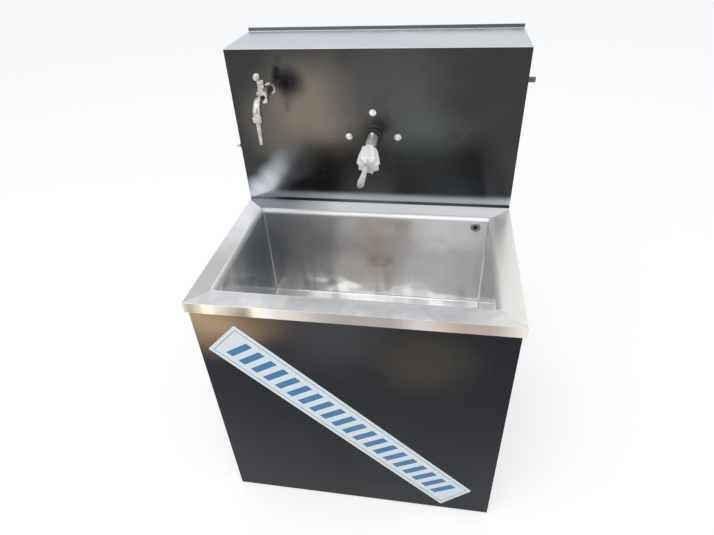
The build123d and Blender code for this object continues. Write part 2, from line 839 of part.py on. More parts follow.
# Casing screws
screw_planes = [
    plane for side in sides.values() for plane in post_screws(side) + cover_screws(side) + top_screws(side)
]
with BuildPart() as casing_screws:
    with Locations(*screw_planes):
        Cylinder(screw_head_radius, screw_head_height, align=stand)
    fillet(casing_screws.edges().filter_by(GeomType.CIRCLE), screw_head_edge)
    with Locations(*screw_planes):
        Cylinder(screw_head_radius, screw_head_height / 2, align=stand)
        Cylinder(screw_radius, screw_length, align=hang)
    with Locations(*[plane.offset(screw_head_height) for plane in screw_planes]):
        Box(screw_head_radius, recess_width, recess_depth, align=hang, mode=Mode.SUBTRACT)
        Box(recess_width, screw_head_radius, recess_depth, align=hang, mode=Mode.SUBTRACT)
keep(casing_screws, "casing_screws")

# Motor: the front end shield is the mounting flange, and carries the front bearing
bearing_seat = bearing_radius + bearing_seat_gap
rear_inner = flange_thick + frame_length
with BuildPart() as motor_flange:
    with Locations(shaft_plane):
        Cylinder(flange_radius, flange_thick, align=stand)
    fillet(motor_flange.edges().group_by(Axis.Y)[-1], flange_edge)
    with Locations(shaft_plane.offset(flange_thick)):
        Cylinder(bearing_seat + bearing_wall, bearing_width, align=stand)
        Cylinder(bearing_seat, bearing_width, align=stand, mode=Mode.SUBTRACT)
    with Locations(shaft_plane):
        Cylinder(shaft_radius + shaft_clear, flange_thick, align=stand, mode=Mode.SUBTRACT)
        with PolarLocations(bolt_circle_radius, bolt_count):
            Cylinder(bolt_radius + bolt_hole_gap, flange_thick, align=stand, mode=Mode.SUBTRACT)
keep(motor_flange, "motor_flange")

# Finned frame with a pad for the terminal box on top
frame_mid = flange_thick + frame_length / 2
with BuildPart() as motor_frame:
    with Locations(shaft_plane.offset(flange_thick)):
        Cylinder(frame_radius, frame_length, align=stand)
    with BuildSketch(shaft_plane.offset(flange_thick)):
        with PolarLocations(frame_radius - fin_root, fin_count):
            Rectangle(fin_height + fin_root, fin_thick, align=(Align.MIN, Align.CENTER))
    extrude(amount=frame_length)
    with Locations(Plane((0, motor_y + frame_mid, spindle_z))):
        Box(terminal_side, terminal_side, pad_top, align=stand)
    with Locations(shaft_plane.offset(flange_thick)):
        Cylinder(frame_radius - frame_wall, frame_length, align=stand, mode=Mode.SUBTRACT)
keep(motor_frame, "motor_frame")

with BuildPart() as motor_rear_shield:
    with Locations(shaft_plane.offset(rear_inner)):
        Cylinder(frame_radius, shield_thick, align=stand)
        Cylinder(bearing_seat + bearing_wall, bearing_width, align=hang)
        Cylinder(bearing_seat, bearing_width, align=hang, mode=Mode.SUBTRACT)
        Cylinder(fan_seat_radius + shaft_clear, shield_thick, align=stand, mode=Mode.SUBTRACT)
keep(motor_rear_shield, "motor_rear_shield")

with BuildPart() as motor_bearings:
    for start in (flange_thick, rear_inner - bearing_width):
        with Locations(shaft_plane.offset(start)):
            Cylinder(bearing_radius, bearing_width, align=stand)
            Cylinder(journal_radius + running_gap, bearing_width, align=stand, mode=Mode.SUBTRACT)
keep(motor_bearings, "motor_bearings")

stator_start = frame_mid - stator_length / 2
stator_radius = frame_radius - frame_wall - stator_fit_gap
stator_bore = stator_radius - stator_depth
with BuildPart() as stator_core:
    with Locations(shaft_plane.offset(stator_start)):
        Cylinder(stator_radius, stator_length, align=stand)
        Cylinder(stator_bore, stator_length, align=stand, mode=Mode.SUBTRACT)
keep(stator_core, "stator_core")

winding_radius = frame_radius - frame_wall - winding_gap
with BuildPart() as stator_windings:
    for start in (stator_start - winding_length, stator_start + stator_length):
        with Locations(shaft_plane.offset(start)):
            Cylinder(winding_radius, winding_length, align=stand)
            Cylinder(winding_radius - winding_depth, winding_length, align=stand, mode=Mode.SUBTRACT)
    fillet(stator_windings.edges().group_by(Axis.Y)[0], winding_edge)
    fillet(stator_windings.edges().group_by(Axis.Y)[-1], winding_edge)
keep(stator_windings, "stator_windings")

with BuildPart() as rotor_core:
    with Locations(shaft_plane.offset(stator_start)):
        Cylinder(stator_bore - air_gap, stator_length, align=stand)
        Cylinder(journal_radius + running_gap, stator_length, align=stand, mode=Mode.SUBTRACT)
keep(rotor_core, "rotor_core")

fan_start = rear_inner + shield_thick + fan_gap
with BuildPart() as motor_shaft:
    with Locations(shaft_plane.offset(flange_thick + bearing_seat_gap)):
        Cylinder(journal_radius, frame_length - 2 * bearing_seat_gap, align=stand)
        Cylinder(shaft_radius, flange_thick + bearing_seat_gap + shaft_reach, align=hang)
    with Locations(shaft_plane.offset(rear_inner - bearing_seat_gap)):
        Cylinder(fan_seat_radius, shield_thick + fan_gap + fan_width + bearing_seat_gap, align=stand)
    chamfer(motor_shaft.edges().group_by(Axis.Y)[0], shaft_chamfer)
keep(motor_shaft, "motor_shaft")

with BuildPart() as motor_fan:
    with Locations(shaft_plane.offset(fan_start)):
        Cylinder(fan_radius, fan_plate, align=stand)
        Cylinder(fan_hub_radius, fan_width, align=stand)
    with BuildSketch(shaft_plane.offset(fan_start)):
        with PolarLocations(fan_hub_radius - fan_root, fan_blades):
            Rectangle(fan_radius - fan_hub_radius + fan_root, fan_blade, align=(Align.MIN, Align.CENTER))
    extrude(amount=fan_width)
    with Locations(shaft_plane.offset(fan_start)):
        Cylinder(fan_seat_radius + running_gap, fan_width, align=stand, mode=Mode.SUBTRACT)
keep(motor_fan, "motor_fan")

cowl_radius = frame_radius + cowl_fit_gap
cowl_start = rear_inner + shield_thick - cowl_lap
with BuildPart() as fan_cowl:
    with Locations(shaft_plane.offset(cowl_start)):
        Cylinder(cowl_radius + cowl_sheet, cowl_length, align=stand)
    fillet(fan_cowl.edges().group_by(Axis.Y)[-1], 2 * cowl_sheet)
    offset(amount=-cowl_sheet, openings=fan_cowl.faces().sort_by(Axis.Y)[0])
    with BuildSketch(shaft_plane.offset(cowl_start + cowl_length)):
        with PolarLocations((cowl_slot_inner + cowl_slot_outer) / 2, cowl_slots):
            SlotOverall(cowl_slot_outer - cowl_slot_inner, cowl_slot_width)
    extrude(amount=-2 * cowl_sheet, mode=Mode.SUBTRACT)
keep(fan_cowl, "fan_cowl")

terminal_z = spindle_z + pad_top
terminal_y = motor_y + frame_mid
with BuildPart() as terminal_box:
    with Locations((0, terminal_y, terminal_z)):
        Box(terminal_side, terminal_side, terminal_height - terminal_lid, align=stand)
    fillet(terminal_box.edges().filter_by(Axis.Z), terminal_edge)
    with Locations((0, terminal_y, terminal_z + terminal_height)):
        Box(terminal_side, terminal_side, terminal_lid, align=hang)
    fillet(terminal_box.edges().group_by(Axis.Z)[-1], terminal_lid / 2)
keep(terminal_box, "terminal_box")

capacitor_x = frame_radius + fin_height + capacitor_clear + capacitor_radius
capacitor_base = (capacitor_x, terminal_y, rim_height)
with BuildPart() as capacitor:
    with Locations(capacitor_base):
        Cylinder(clip_radius, clip_height, align=stand)
        Cylinder(capacitor_radius, clip_height + capacitor_height, align=stand)
    fillet(capacitor.edges().group_by(Axis.Z)[-1], capacitor_edge)
keep(capacitor, "capacitor")

# Flange bolts, with hexagon heads on a round flange
with BuildPart() as flange_bolts:
    with Locations(out_plane):
        with PolarLocations(bolt_circle_radius, bolt_count):
            Cylinder(bolt_flange_radius, bolt_flange_height, align=stand)
            Cylinder(bolt_radius, splash_sheet + flange_thick - bolt_end_gap, align=hang)
    with BuildSketch(out_plane):
        with PolarLocations(bolt_circle_radius, bolt_count):
            RegularPolygon(bolt_flats / 2, 6, major_radius=False)
    extrude(amount=bolt_head_height)
    fillet(flange_bolts.edges().group_by(Axis.Y)[0], bolt_dome)
keep(flange_bolts, "flange_bolts")

# Rubber slinger on the shaft in front of the panel
slinger_start = slinger_clear
chuck_start = slinger_start + slinger_width + chuck_gap
with BuildPart() as shaft_slinger:
    with Locations(out_plane.offset(slinger_start)):
        Cylinder(slinger_radius, slinger_lip, align=stand)
        Cylinder(slinger_hub_radius, slinger_width, align=stand)
    fillet(shaft_slinger.edges().filter_by(GeomType.CIRCLE).group_by(SortBy.RADIUS)[-1], slinger_lip / 3)
    with Locations(out_plane):
        Cylinder(shaft_radius + running_gap, slinger_clear + slinger_width, align=stand, mode=Mode.SUBTRACT)
keep(shaft_slinger, "shaft_slinger")

# Chuck: a socket on the shaft with a coned nose that takes the brush stem
shaft_end = shaft_reach - splash_sheet
screw_out = (chuck_start + shaft_end) / 2
chuck_end = chuck_start + chuck_length
with BuildPart() as brush_chuck:
    with Locations(out_plane.offset(chuck_start)):
        Cylinder(chuck_radius, chuck_length - chuck_nose, align=stand)
    with Locations(out_plane.offset(chuck_end - chuck_nose)):
        Cone(chuck_radius, chuck_nose_radius, chuck_nose, align=stand)
    chamfer(brush_chuck.edges().group_by(Axis.Y)[-1], chuck_gap)
    chamfer(brush_chuck.edges().group_by(Axis.Y)[0], chuck_gap)
    with Locations(out_plane):
        Cylinder(shaft_radius + chuck_bore_gap, shaft_end + chuck_gap, align=stand, mode=Mode.SUBTRACT)
        Cylinder(stem_radius + chuck_bore_gap, chuck_end, align=stand, mode=Mode.SUBTRACT)
    with Locations((0, face_y - screw_out, spindle_z)):
        Cylinder(chuck_screw_radius + chuck_bore_gap, chuck_radius, align=stand, mode=Mode.SUBTRACT)
keep(brush_chuck, "brush_chuck")

with BuildPart() as chuck_screw:
    with Locations((0, face_y - screw_out, spindle_z + shaft_radius)):
        Cylinder(
            chuck_screw_radius,
            chuck_radius - shaft_radius + chuck_screw_rise,
            align=stand,
        )
    with Locations((0, face_y - screw_out, spindle_z + chuck_radius + chuck_screw_rise / 2)):
        Cylinder(chuck_screw_head, chuck_screw_rise, align=stand)
    fillet(chuck_screw.edges().group_by(Axis.Z)[-1], chuck_screw_rise / 4)
keep(chuck_screw, "chuck_screw")

# Brush: a wire stem that droops, and a bell of radial strands that ends in a tuft
stem_start = chuck_end - stem_grip
bell_end = bell_start + bell_length
stem_end = bell_end - core_cap
droop = radians(stem_droop)
brush_plane = Plane(
    (0, face_y - chuck_end - stem_free, spindle_z),
    x_dir=(1, 0, 0),
    z_dir=(0, -cos(droop), -sin(droop)),
)
with BuildPart() as brush_stem:
    with BuildLine() as stem_path:
        FilletPolyline(
            (0, face_y - stem_start, spindle_z),
            brush_plane.origin,
            brush_plane.from_local_coords(Vector(0, 0, stem_end)),
            radius=stem_bend,
        )
    with BuildSketch(Plane(stem_path.line @ 0, z_dir=stem_path.line % 0)):
        Circle(stem_radius)
    sweep()
keep(brush_stem, "brush_stem")

facets = 2 * ring_strands
ring_pitch = bell_length / ring_count


# The bell widens to its turn, and falls back a little at its front
def bell_outline(share):
    if share < bell_turn:
        return bell_rear_radius + (bell_radius - bell_rear_radius) * sin(radians(90 * share / bell_turn))
    past = (share - bell_turn) / (1 - bell_turn)
    return bell_radius * (1 - bell_fall * past**2)


# A strand's foot and its second point are given in the axes of the drooping brush
def strand(foot, towards, length):
    start = brush_plane.from_local_coords(foot)
    foot_plane = Plane(start, z_dir=brush_plane.from_local_coords(towards) - start)
    return extrude(foot_plane * RegularPolygon(strand_radius, 3), amount=length)


strands = []
for ring in range(ring_count):
    along = bell_start + ring_pitch * (ring + 0.5)
    reach = bell_outline((ring + 0.5) / ring_count)
    for index in range(ring_strands):
        angle = radians(360 / facets * (2 * index + ring % 2))
        root = core_radius * cos(radians(180 / facets)) - strand_root
        foot = Vector(root * cos(angle), root * sin(angle), along)
        tip = Vector(reach * cos(angle), reach * sin(angle), along)
        strands.append(strand(foot, tip, reach - root))

tuft_foot = core_radius - tuft_margin
for ring in range(1, tuft_rings + 1):
    root = tuft_foot * ring / tuft_rings
    spread = tuft_radius * ring / tuft_rings
    for index in range(tuft_strands * ring):
        angle = radians(360 / (tuft_strands * ring) * index)
        foot = Vector(root * cos(angle), root * sin(angle), bell_end - strand_root)
        tip = Vector(spread * cos(angle), spread * sin(angle), bell_end + tuft_length)
        strands.append(strand(foot, tip, (tip - foot).length))

with BuildPart() as brush_bristles:
    with BuildSketch(brush_plane.offset(bell_start)):
        RegularPolygon(core_radius, facets, rotation=180 / facets)
    extrude(amount=bell_length)
    with Locations(brush_plane.offset(bell_start)):
        Cylinder(stem_radius + running_gap, stem_end - bell_start, align=stand, mode=Mode.SUBTRACT)
    add(strands)
keep(brush_bristles, "brush_bristles")

# Tap: tail through the panel, barrel, valve with bonnet, bent spout and collar
valve_y = face_y - tap_valve_out
spout_y = face_y - tap_spout_out
bonnet_top = tap_valve_half + tap_bonnet_height + tap_gland_height
spindle_bore = handle_spindle_radius + running_gap
with BuildPart() as tap_body:
    with Locations(tap_plane):
        Cylinder(thread_radius, tap_tail, align=hang)
        Cylinder(tap_flange_radius, tap_flange_thick, align=stand)
        Cylinder(tap_barrel_radius, tap_valve_out, align=stand)
    with Locations((tap_x, valve_y, tap_z - tap_valve_half)):
        Cylinder(tap_valve_radius, 2 * tap_valve_half, align=stand)
    with BuildSketch(Plane((tap_x, valve_y, tap_z + tap_valve_half))):
        RegularPolygon(tap_barrel_radius, 6, major_radius=False)
    extrude(amount=tap_bonnet_height)
    with Locations((tap_x, valve_y, tap_z + tap_valve_half)):
        Cylinder(tap_gland_radius, tap_bonnet_height + tap_gland_height, align=stand)
    with BuildLine() as spout_path:
        FilletPolyline(
            (tap_x, valve_y, tap_z),
            (tap_x, spout_y, tap_z),
            (tap_x, spout_y, tap_z - tap_spout_drop),
            radius=tap_spout_bend,
        )
    with BuildSketch(Plane(spout_path.line @ 0, z_dir=spout_path.line % 0)):
        Circle(tap_spout_radius)
    sweep()
    with Locations((tap_x, spout_y, tap_z - tap_spout_drop)):
        Cylinder(tap_collar_radius, tap_collar_height, align=hang)
    with Locations((tap_x, valve_y, tap_z + bonnet_top)):
        Cylinder(spindle_bore, handle_depth + handle_gap, align=hang, mode=Mode.SUBTRACT)
    with Locations(tap_plane.offset(-tap_tail)):
        Cylinder(pipe_radius + pipe_fit_gap, pipe_insert + pipe_end_gap, align=stand, mode=Mode.SUBTRACT)
keep(tap_body, "tap_body")

nozzle_z = tap_z - tap_spout_drop - tap_collar_height
with BuildPart() as tap_nozzle:
    with Locations((tap_x, spout_y, nozzle_z)):
        Cone(nozzle_tip_radius, nozzle_top_radius, nozzle_length, align=hang)
        Cylinder(nozzle_bore, nozzle_length, align=hang, mode=Mode.SUBTRACT)
    fillet(tap_nozzle.edges().group_by(Axis.Z)[0].sort_by(SortBy.RADIUS)[-1], nozzle_bore / 3)
keep(tap_nozzle, "tap_nozzle")

# Handle: spindle in the bonnet, domed hub, and a lever leaning forward to its pear-shaped grip
hub_z = tap_z + bonnet_top + handle_gap
ball_place = (tap_x, valve_y - handle_lean, hub_z + handle_hub_height + handle_rise)
lever_foot = (tap_x, valve_y, hub_z + handle_hub_height / 2)
lever_line = Vector(*ball_place) - Vector(*lever_foot)
with BuildPart() as tap_handle:
    with Locations((tap_x, valve_y, hub_z)):
        Cylinder(handle_spindle_radius, handle_depth, align=hang)
        Cylinder(handle_hub_radius, handle_hub_height, align=stand)
    fillet(tap_handle.edges().group_by(Axis.Z)[-1], handle_hub_height / 3)
    with Locations(Plane(lever_foot, z_dir=lever_line)):
        Cylinder(handle_rod_radius, lever_line.length, align=stand)
    with Locations(Plane(ball_place, z_dir=lever_line)):
        Sphere(handle_ball_radius)
        Cone(handle_rod_radius, handle_ball_radius, handle_grip_length, align=hang)
keep(tap_handle, "tap_handle")

# Lock nuts of the tap and the inlet, inside the box
with BuildPart() as pipe_locknuts:
    with BuildSketch(tap_plane.offset(-splash_sheet), inlet_plane.offset(-box_sheet)):
        RegularPolygon(locknut_flats / 2, 6, major_radius=False)
        Circle(thread_radius + thread_nut_gap, mode=Mode.SUBTRACT)
    extrude(amount=-locknut_thick)
keep(pipe_locknuts, "pipe_locknuts")

# Inlet: a reducing nipple, with its larger thread in the box and its smaller one outside
with BuildPart() as inlet_nipple:
    with BuildSketch(inlet_plane):
        RegularPolygon(locknut_flats / 2, 6, major_radius=False)
    extrude(amount=inlet_hex)
    with Locations(inlet_plane):
        Cylinder(inlet_end_radius, inlet_reach, align=stand)
        Cylinder(thread_radius, inlet_tail, align=hang)
    chamfer(inlet_nipple.edges().group_by(Axis.X)[-1], thread_chamfer)
    with Locations(inlet_plane.offset(inlet_reach)):
        Cylinder(inlet_bore, inlet_reach + inlet_tail, align=hang, mode=Mode.SUBTRACT)
    with Locations(inlet_plane.offset(-inlet_tail)):
        Cylinder(pipe_radius + pipe_fit_gap, pipe_insert + pipe_end_gap, align=stand, mode=Mode.SUBTRACT)
keep(inlet_nipple, "inlet_nipple")

with BuildPart() as feed_pipe:
    with BuildLine() as feed_path:
        FilletPolyline(
            (half_width - inlet_tail + pipe_insert, feed_y, feed_z),
            (tap_x + pipe_slope_run, feed_y, feed_z),
            (tap_x, feed_y, tap_z),
            (tap_x, face_y + tap_tail - pipe_insert, tap_z),
            radius=[pipe_slope_bend, pipe_bend],
        )
    with BuildSketch(Plane(feed_path.line @ 0, z_dir=feed_path.line % 0)):
        Circle(pipe_radius)
        Circle(pipe_radius - pipe_wall, mode=Mode.SUBTRACT)
    sweep()
keep(feed_pipe, "feed_pipe")

# Toggle switch: block inside, threaded bush through the side, lever on trunnions in a ball seat
pivot_out = switch_bush_reach - switch_pivot_depth
pivot = switch_plane.offset(pivot_out).origin
trunnion_plane = Plane(pivot, x_dir=(1, 0, 0), z_dir=(0, 1, 0))
with BuildPart() as switch_body:
    with Locations(switch_plane.offset(-box_sheet)):
        Box(switch_block[1], switch_block[2], switch_block[0], align=hang)
        Cylinder(switch_bush_radius, box_sheet + switch_bush_reach, align=stand)
    with BuildSketch(switch_plane):
        RegularPolygon(switch_nut_flats / 2, 6, major_radius=False)
    extrude(amount=switch_nut_thick)
    with Locations(switch_plane.offset(pivot_out)):
        Sphere(lever_ball_radius + lever_gap, mode=Mode.SUBTRACT)
        Cylinder(lever_mouth, switch_pivot_depth, align=stand, mode=Mode.SUBTRACT)
    with Locations(trunnion_plane):
        Cylinder(
            trunnion_radius + running_gap, 2 * (trunnion_reach + trunnion_end_gap), mode=Mode.SUBTRACT
        )
keep(switch_body, "switch_body")

lever_length = (switch_reach - pivot_out) / cos(radians(lever_tilt)) - lever_tip_radius
lever_plane = Plane(pivot, x_dir=(0, 1, 0), z_dir=(-cos(radians(lever_tilt)), 0, -sin(radians(lever_tilt))))
with BuildPart() as switch_lever:
    with Locations(lever_plane):
        Sphere(lever_ball_radius)
        Cone(lever_neck_radius, lever_tip_radius, lever_length, align=stand)
    with Locations(lever_plane.offset(lever_length)):
        Sphere(lever_tip_radius)
    with Locations(trunnion_plane):
        Cylinder(trunnion_radius, 2 * trunnion_reach)
keep(switch_lever, "switch_lever")

# Cable gland in the rear cover
with BuildPart() as cable_gland:
    with BuildSketch(gland_plane):
        RegularPolygon(gland_flats / 2, 6, major_radius=False)
    extrude(amount=gland_hex)
    with BuildSketch(gland_plane.offset(-box_sheet)):
        RegularPolygon(gland_flats / 2, 6, major_radius=False)
    extrude(amount=-gland_nut)
    with Locations(gland_plane.offset(gland_hex)):
        Cylinder(gland_flats / 2, gland_dome, align=stand)
    fillet(cable_gland.edges().group_by(Axis.Y)[-1], gland_dome / 3)
    with Locations(gland_plane.offset(gland_hex)):
        Cylinder(gland_thread_radius, gland_hex + box_sheet + 2 * gland_nut, align=hang)
    with Locations(gland_plane):
        Cylinder(gland_bore, 4 * (gland_hex + gland_dome), mode=Mode.SUBTRACT)
keep(cable_gland, "cable_gland")

# Leads inside the box: switch to terminal box, and capacitor to terminal box
lead_z = terminal_z + (terminal_height - terminal_lid) / 2
switch_end = -inner_half + switch_block[0]
capacitor_top = rim_height + clip_height + capacitor_height
with BuildPart() as motor_leads:
    with BuildLine() as switch_lead:
        FilletPolyline(
            (switch_end, switch_y, switch_z),
            (switch_end + lead_run, switch_y, switch_z),
            (-terminal_side / 2 - lead_run, terminal_y, lead_z),
            (-terminal_side / 2, terminal_y, lead_z),
            radius=lead_bend,
        )
    with BuildSketch(Plane(switch_lead.line @ 0, z_dir=switch_lead.line % 0)):
        Circle(lead_radius)
    sweep()
    with BuildLine() as capacitor_lead:
        FilletPolyline(
            (capacitor_x, terminal_y, capacitor_top),
            (capacitor_x, terminal_y, lead_z),
            (terminal_side / 2, terminal_y, lead_z),
            radius=capacitor_lead_bend,
        )
    with BuildSketch(Plane(capacitor_lead.line @ 0, z_dir=capacitor_lead.line % 0)):
        Circle(lead_radius)
    sweep()
keep(motor_leads, "motor_leads")
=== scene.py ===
import bmesh
import bpy
import json
import math
from mathutils import Matrix, Vector


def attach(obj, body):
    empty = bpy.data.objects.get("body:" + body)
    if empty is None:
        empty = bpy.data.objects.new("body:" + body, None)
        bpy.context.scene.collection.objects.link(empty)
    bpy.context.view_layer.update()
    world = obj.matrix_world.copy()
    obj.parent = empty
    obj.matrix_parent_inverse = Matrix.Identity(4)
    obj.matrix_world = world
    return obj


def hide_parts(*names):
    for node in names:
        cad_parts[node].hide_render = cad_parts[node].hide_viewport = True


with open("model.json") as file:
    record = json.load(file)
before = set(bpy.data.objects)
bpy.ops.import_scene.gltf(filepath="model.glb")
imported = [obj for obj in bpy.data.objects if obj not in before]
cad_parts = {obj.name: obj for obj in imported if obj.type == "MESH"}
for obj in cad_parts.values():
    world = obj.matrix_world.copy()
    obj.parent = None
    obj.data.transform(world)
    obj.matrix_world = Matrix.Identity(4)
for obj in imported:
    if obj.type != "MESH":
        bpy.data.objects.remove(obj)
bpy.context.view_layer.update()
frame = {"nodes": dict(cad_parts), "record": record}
nodes = frame["nodes"]
scene = bpy.context.scene
scene.view_settings.view_transform = "Standard"
print("frame loaded:", len(nodes), "nodes")

# camera at the photograph's viewpoint
cameraSet = {
    "place": (0.1819, -1.13335, 1.4499), "turn": (0.9372, 0.0442, 0.1575),
    "lens": 25.56, "sensor": 36.0, "clip": (0.01, 100.0),
}

camera = bpy.data.objects.new("camera", bpy.data.cameras.new("camera"))
camera.location = cameraSet["place"]
camera.rotation_euler = cameraSet["turn"]
camera.data.lens = cameraSet["lens"]
camera.data.sensor_width = cameraSet["sensor"]
camera.data.clip_start, camera.data.clip_end = cameraSet["clip"]
scene.collection.objects.link(camera)
scene.camera = camera
print("camera placed")


# small helpers for node trees
def addNode(tree, kind, inputs=None, **settings):
    node = tree.nodes.new(kind)
    for name, value in settings.items():
        setattr(node, name, value)
    for socket, value in (inputs or {}).items():
        if isinstance(value, bpy.types.NodeSocket):
            tree.links.new(value, node.inputs[socket])
        else:
            node.inputs[socket].default_value = value
    return node


def startGroup(name, kind, inputs, outputs):
    tree = bpy.data.node_groups.new(name, kind)
    for label, (socketType, value) in inputs.items():
        socket = tree.interface.new_socket(label, in_out="INPUT", socket_type=socketType)
        if value is not None:
            socket.default_value = value
    for label, socketType in outputs.items():
        tree.interface.new_socket(label, in_out="OUTPUT", socket_type=socketType)
    return tree, tree.nodes.new("NodeGroupInput"), tree.nodes.new("NodeGroupOutput")


def floatSockets(values):
    return {label: ("NodeSocketFloat", value) for label, value in values.items()}


def mathNode(tree, operation, first, second=0.0, third=0.0):
    return addNode(tree, "ShaderNodeMath", {0: first, 1: second, 2: third}, operation=operation).outputs[0]


def times(tree, first, *others):
    for other in others:
        first = mathNode(tree, "MULTIPLY", first, other)
    return first


# takes a value from one span to another
def rangeNode(tree, value, span, toSpan=(0.0, 1.0), kind="LINEAR"):
    ends = {"From Min": span[0], "From Max": span[1], "To Min": toSpan[0], "To Max": toSpan[1]}
    return addNode(tree, "ShaderNodeMapRange", {"Value": value, **ends}, interpolation_type=kind).outputs[0]


def noiseNode(tree, where, values):
    return addNode(tree, "ShaderNodeTexNoise", {"Vector": where, **values}).outputs["Fac"]


def stretchNode(tree, where, stretch):
    return addNode(tree, "ShaderNodeMapping", {"Vector": where, "Scale": stretch}).outputs[0]


def heightOf(tree, where):
    return addNode(tree, "ShaderNodeSeparateXYZ", {0: where}).outputs["Z"]


def opaque(tone):
    return (*tone, 1.0)


def blendTone(tree, mask, below, above):
    pair = {"Factor": mask, 6: below, 7: above}
    return addNode(tree, "ShaderNodeMix", pair, data_type="RGBA", clamp_factor=True).outputs[2]


# sweeps a round section along a curve
def sweep(tree, curve, sides, radius, more=None):
    section = addNode(tree, "GeometryNodeCurvePrimitiveCircle", {"Resolution": sides, "Radius": radius})
    inputs = {"Curve": curve, "Profile Curve": section.outputs[0], "Fill Caps": True, **(more or {})}
    return addNode(tree, "GeometryNodeCurveToMesh", inputs).outputs[0]


# ends a Geometry Nodes tree with real geometry in its material
def endTree(tree, given, result, geometry):
    whole = addNode(tree, "GeometryNodeRealizeInstances", {0: geometry})
    painted = addNode(
        tree, "GeometryNodeSetMaterial", {"Geometry": whole.outputs[0], "Material": given.outputs["Material"]}
    )
    tree.links.new(painted.outputs[0], result.inputs["Geometry"])


# runs a Geometry Nodes tree on a holder and keeps the result as a plain mesh
def bakeTree(name, tree, values, startMesh=None):
    holder = bpy.data.objects.new(name + "Holder", startMesh or bpy.data.meshes.new(name + "Start"))
    scene.collection.objects.link(holder)
    maker = holder.modifiers.new(name, "NODES")
    maker.node_group = tree
    for item in tree.interface.items_tree:
        if item.item_type == "SOCKET" and item.in_out == "INPUT" and item.name in values:
            maker[item.identifier] = values[item.name]
    graph = bpy.context.evaluated_depsgraph_get()
    mesh = bpy.data.meshes.new_from_object(
        holder.evaluated_get(graph), preserve_all_data_layers=True, depsgraph=graph
    )
    holder.modifiers.remove(maker)
    bpy.data.objects.remove(holder)
    mesh.name = name
    piece = bpy.data.objects.new(name, mesh)
    scene.collection.objects.link(piece)
    return piece


# effects shared by the finishes
effectSet = {
    "grain": {
        "fine": {"Scale": 1.0, "Detail": 5.0, "Roughness": 0.65},
        "broad": {"Scale": 0.14, "Detail": 2.0, "Roughness": 0.5},
        "share": 0.5,
    },
    "smudge": {
        "cloud": {"Detail": 3.0, "Distortion": 0.8}, "patch": (0.36, 0.66),
        "wipes": {"Detail": 6.0, "Roughness": 0.7, "Distortion": 1.6}, "finer": 5.0, "streak": (0.42, 0.72),
    },
    "drops": {"ring": (0.34, 0.2)},
    "wave": {"swell": {"Scale": 1.0, "Detail": 1.0, "Roughness": 0.4}},
    "patch": {"cloud": {"Scale": 6.0, "Detail": 2.0}, "uneven": (0.9, 0.55), "fade": (1.0, 0.15)},
}


def makeGrainGroup(look):
    tree, given, result = startGroup(
        "sheetGrain", "ShaderNodeTree",
        {"Vector": ("NodeSocketVector", None), "Stretch": ("NodeSocketVector", (30.0, 900.0, 900.0))},
        {"Shade": "NodeSocketFloat", "Height": "NodeSocketFloat"},
    )
    lines = stretchNode(tree, given.outputs["Vector"], given.outputs["Stretch"])
    fine = noiseNode(tree, lines, look["fine"])
    broad = noiseNode(tree, lines, look["broad"])
    mixed = mathNode(tree, "MULTIPLY_ADD", broad, look["share"], times(tree, fine, look["share"]))
    tree.links.new(mixed, result.inputs["Shade"])
    tree.links.new(fine, result.inputs["Height"])
    return tree


def makeSmudgeGroup(look):
    tree, given, result = startGroup(
        "wipedSmudge", "ShaderNodeTree",
        {"Vector": ("NodeSocketVector", None), "Scale": ("NodeSocketFloat", 4.0)},
        {"Mask": "NodeSocketFloat", "Patch": "NodeSocketFloat"},
    )
    where, scale = given.outputs["Vector"], given.outputs["Scale"]
    cloud = noiseNode(tree, where, {"Scale": scale, **look["cloud"]})
    wipes = noiseNode(tree, where, {"Scale": times(tree, scale, look["finer"]), **look["wipes"]})
    patch = rangeNode(tree, cloud, look["patch"], kind="SMOOTHSTEP")
    streak = rangeNode(tree, wipes, look["streak"])
    tree.links.new(times(tree, patch, streak), result.inputs["Mask"])
    tree.links.new(patch, result.inputs["Patch"])
    return tree


def makeDropGroup(look):
    tree, given, result = startGroup(
        "driedDrops", "ShaderNodeTree",
        {"Vector": ("NodeSocketVector", None), **floatSockets({"Scale": 90.0, "Share": 0.3})},
        {"Mask": "NodeSocketFloat"},
    )
    cells = addNode(
        tree, "ShaderNodeTexVoronoi",
        {"Vector": given.outputs["Vector"], "Scale": given.outputs["Scale"], "Randomness": 1.0},
    )
    ring = rangeNode(tree, cells.outputs["Distance"], look["ring"], kind="SMOOTHSTEP")
    pick = addNode(tree, "ShaderNodeSeparateColor", {"Color": cells.outputs["Color"]})
    chosen = mathNode(tree, "LESS_THAN", pick.outputs[0], given.outputs["Share"])
    tree.links.new(times(tree, ring, chosen), result.inputs["Mask"])
    return tree


# thin sheet is never quite flat
def makeWaveGroup(look):
    tree, given, result = startGroup(
        "sheetWaviness", "ShaderNodeTree",
        {"Vector": ("NodeSocketVector", None), "Stretch": ("NodeSocketVector", (5.0, 5.0, 5.0))},
        {"Height": "NodeSocketFloat"},
    )
    spread = stretchNode(tree, given.outputs["Vector"], given.outputs["Stretch"])
    tree.links.new(noiseNode(tree, spread, look["swell"]), result.inputs["Height"])
    return tree


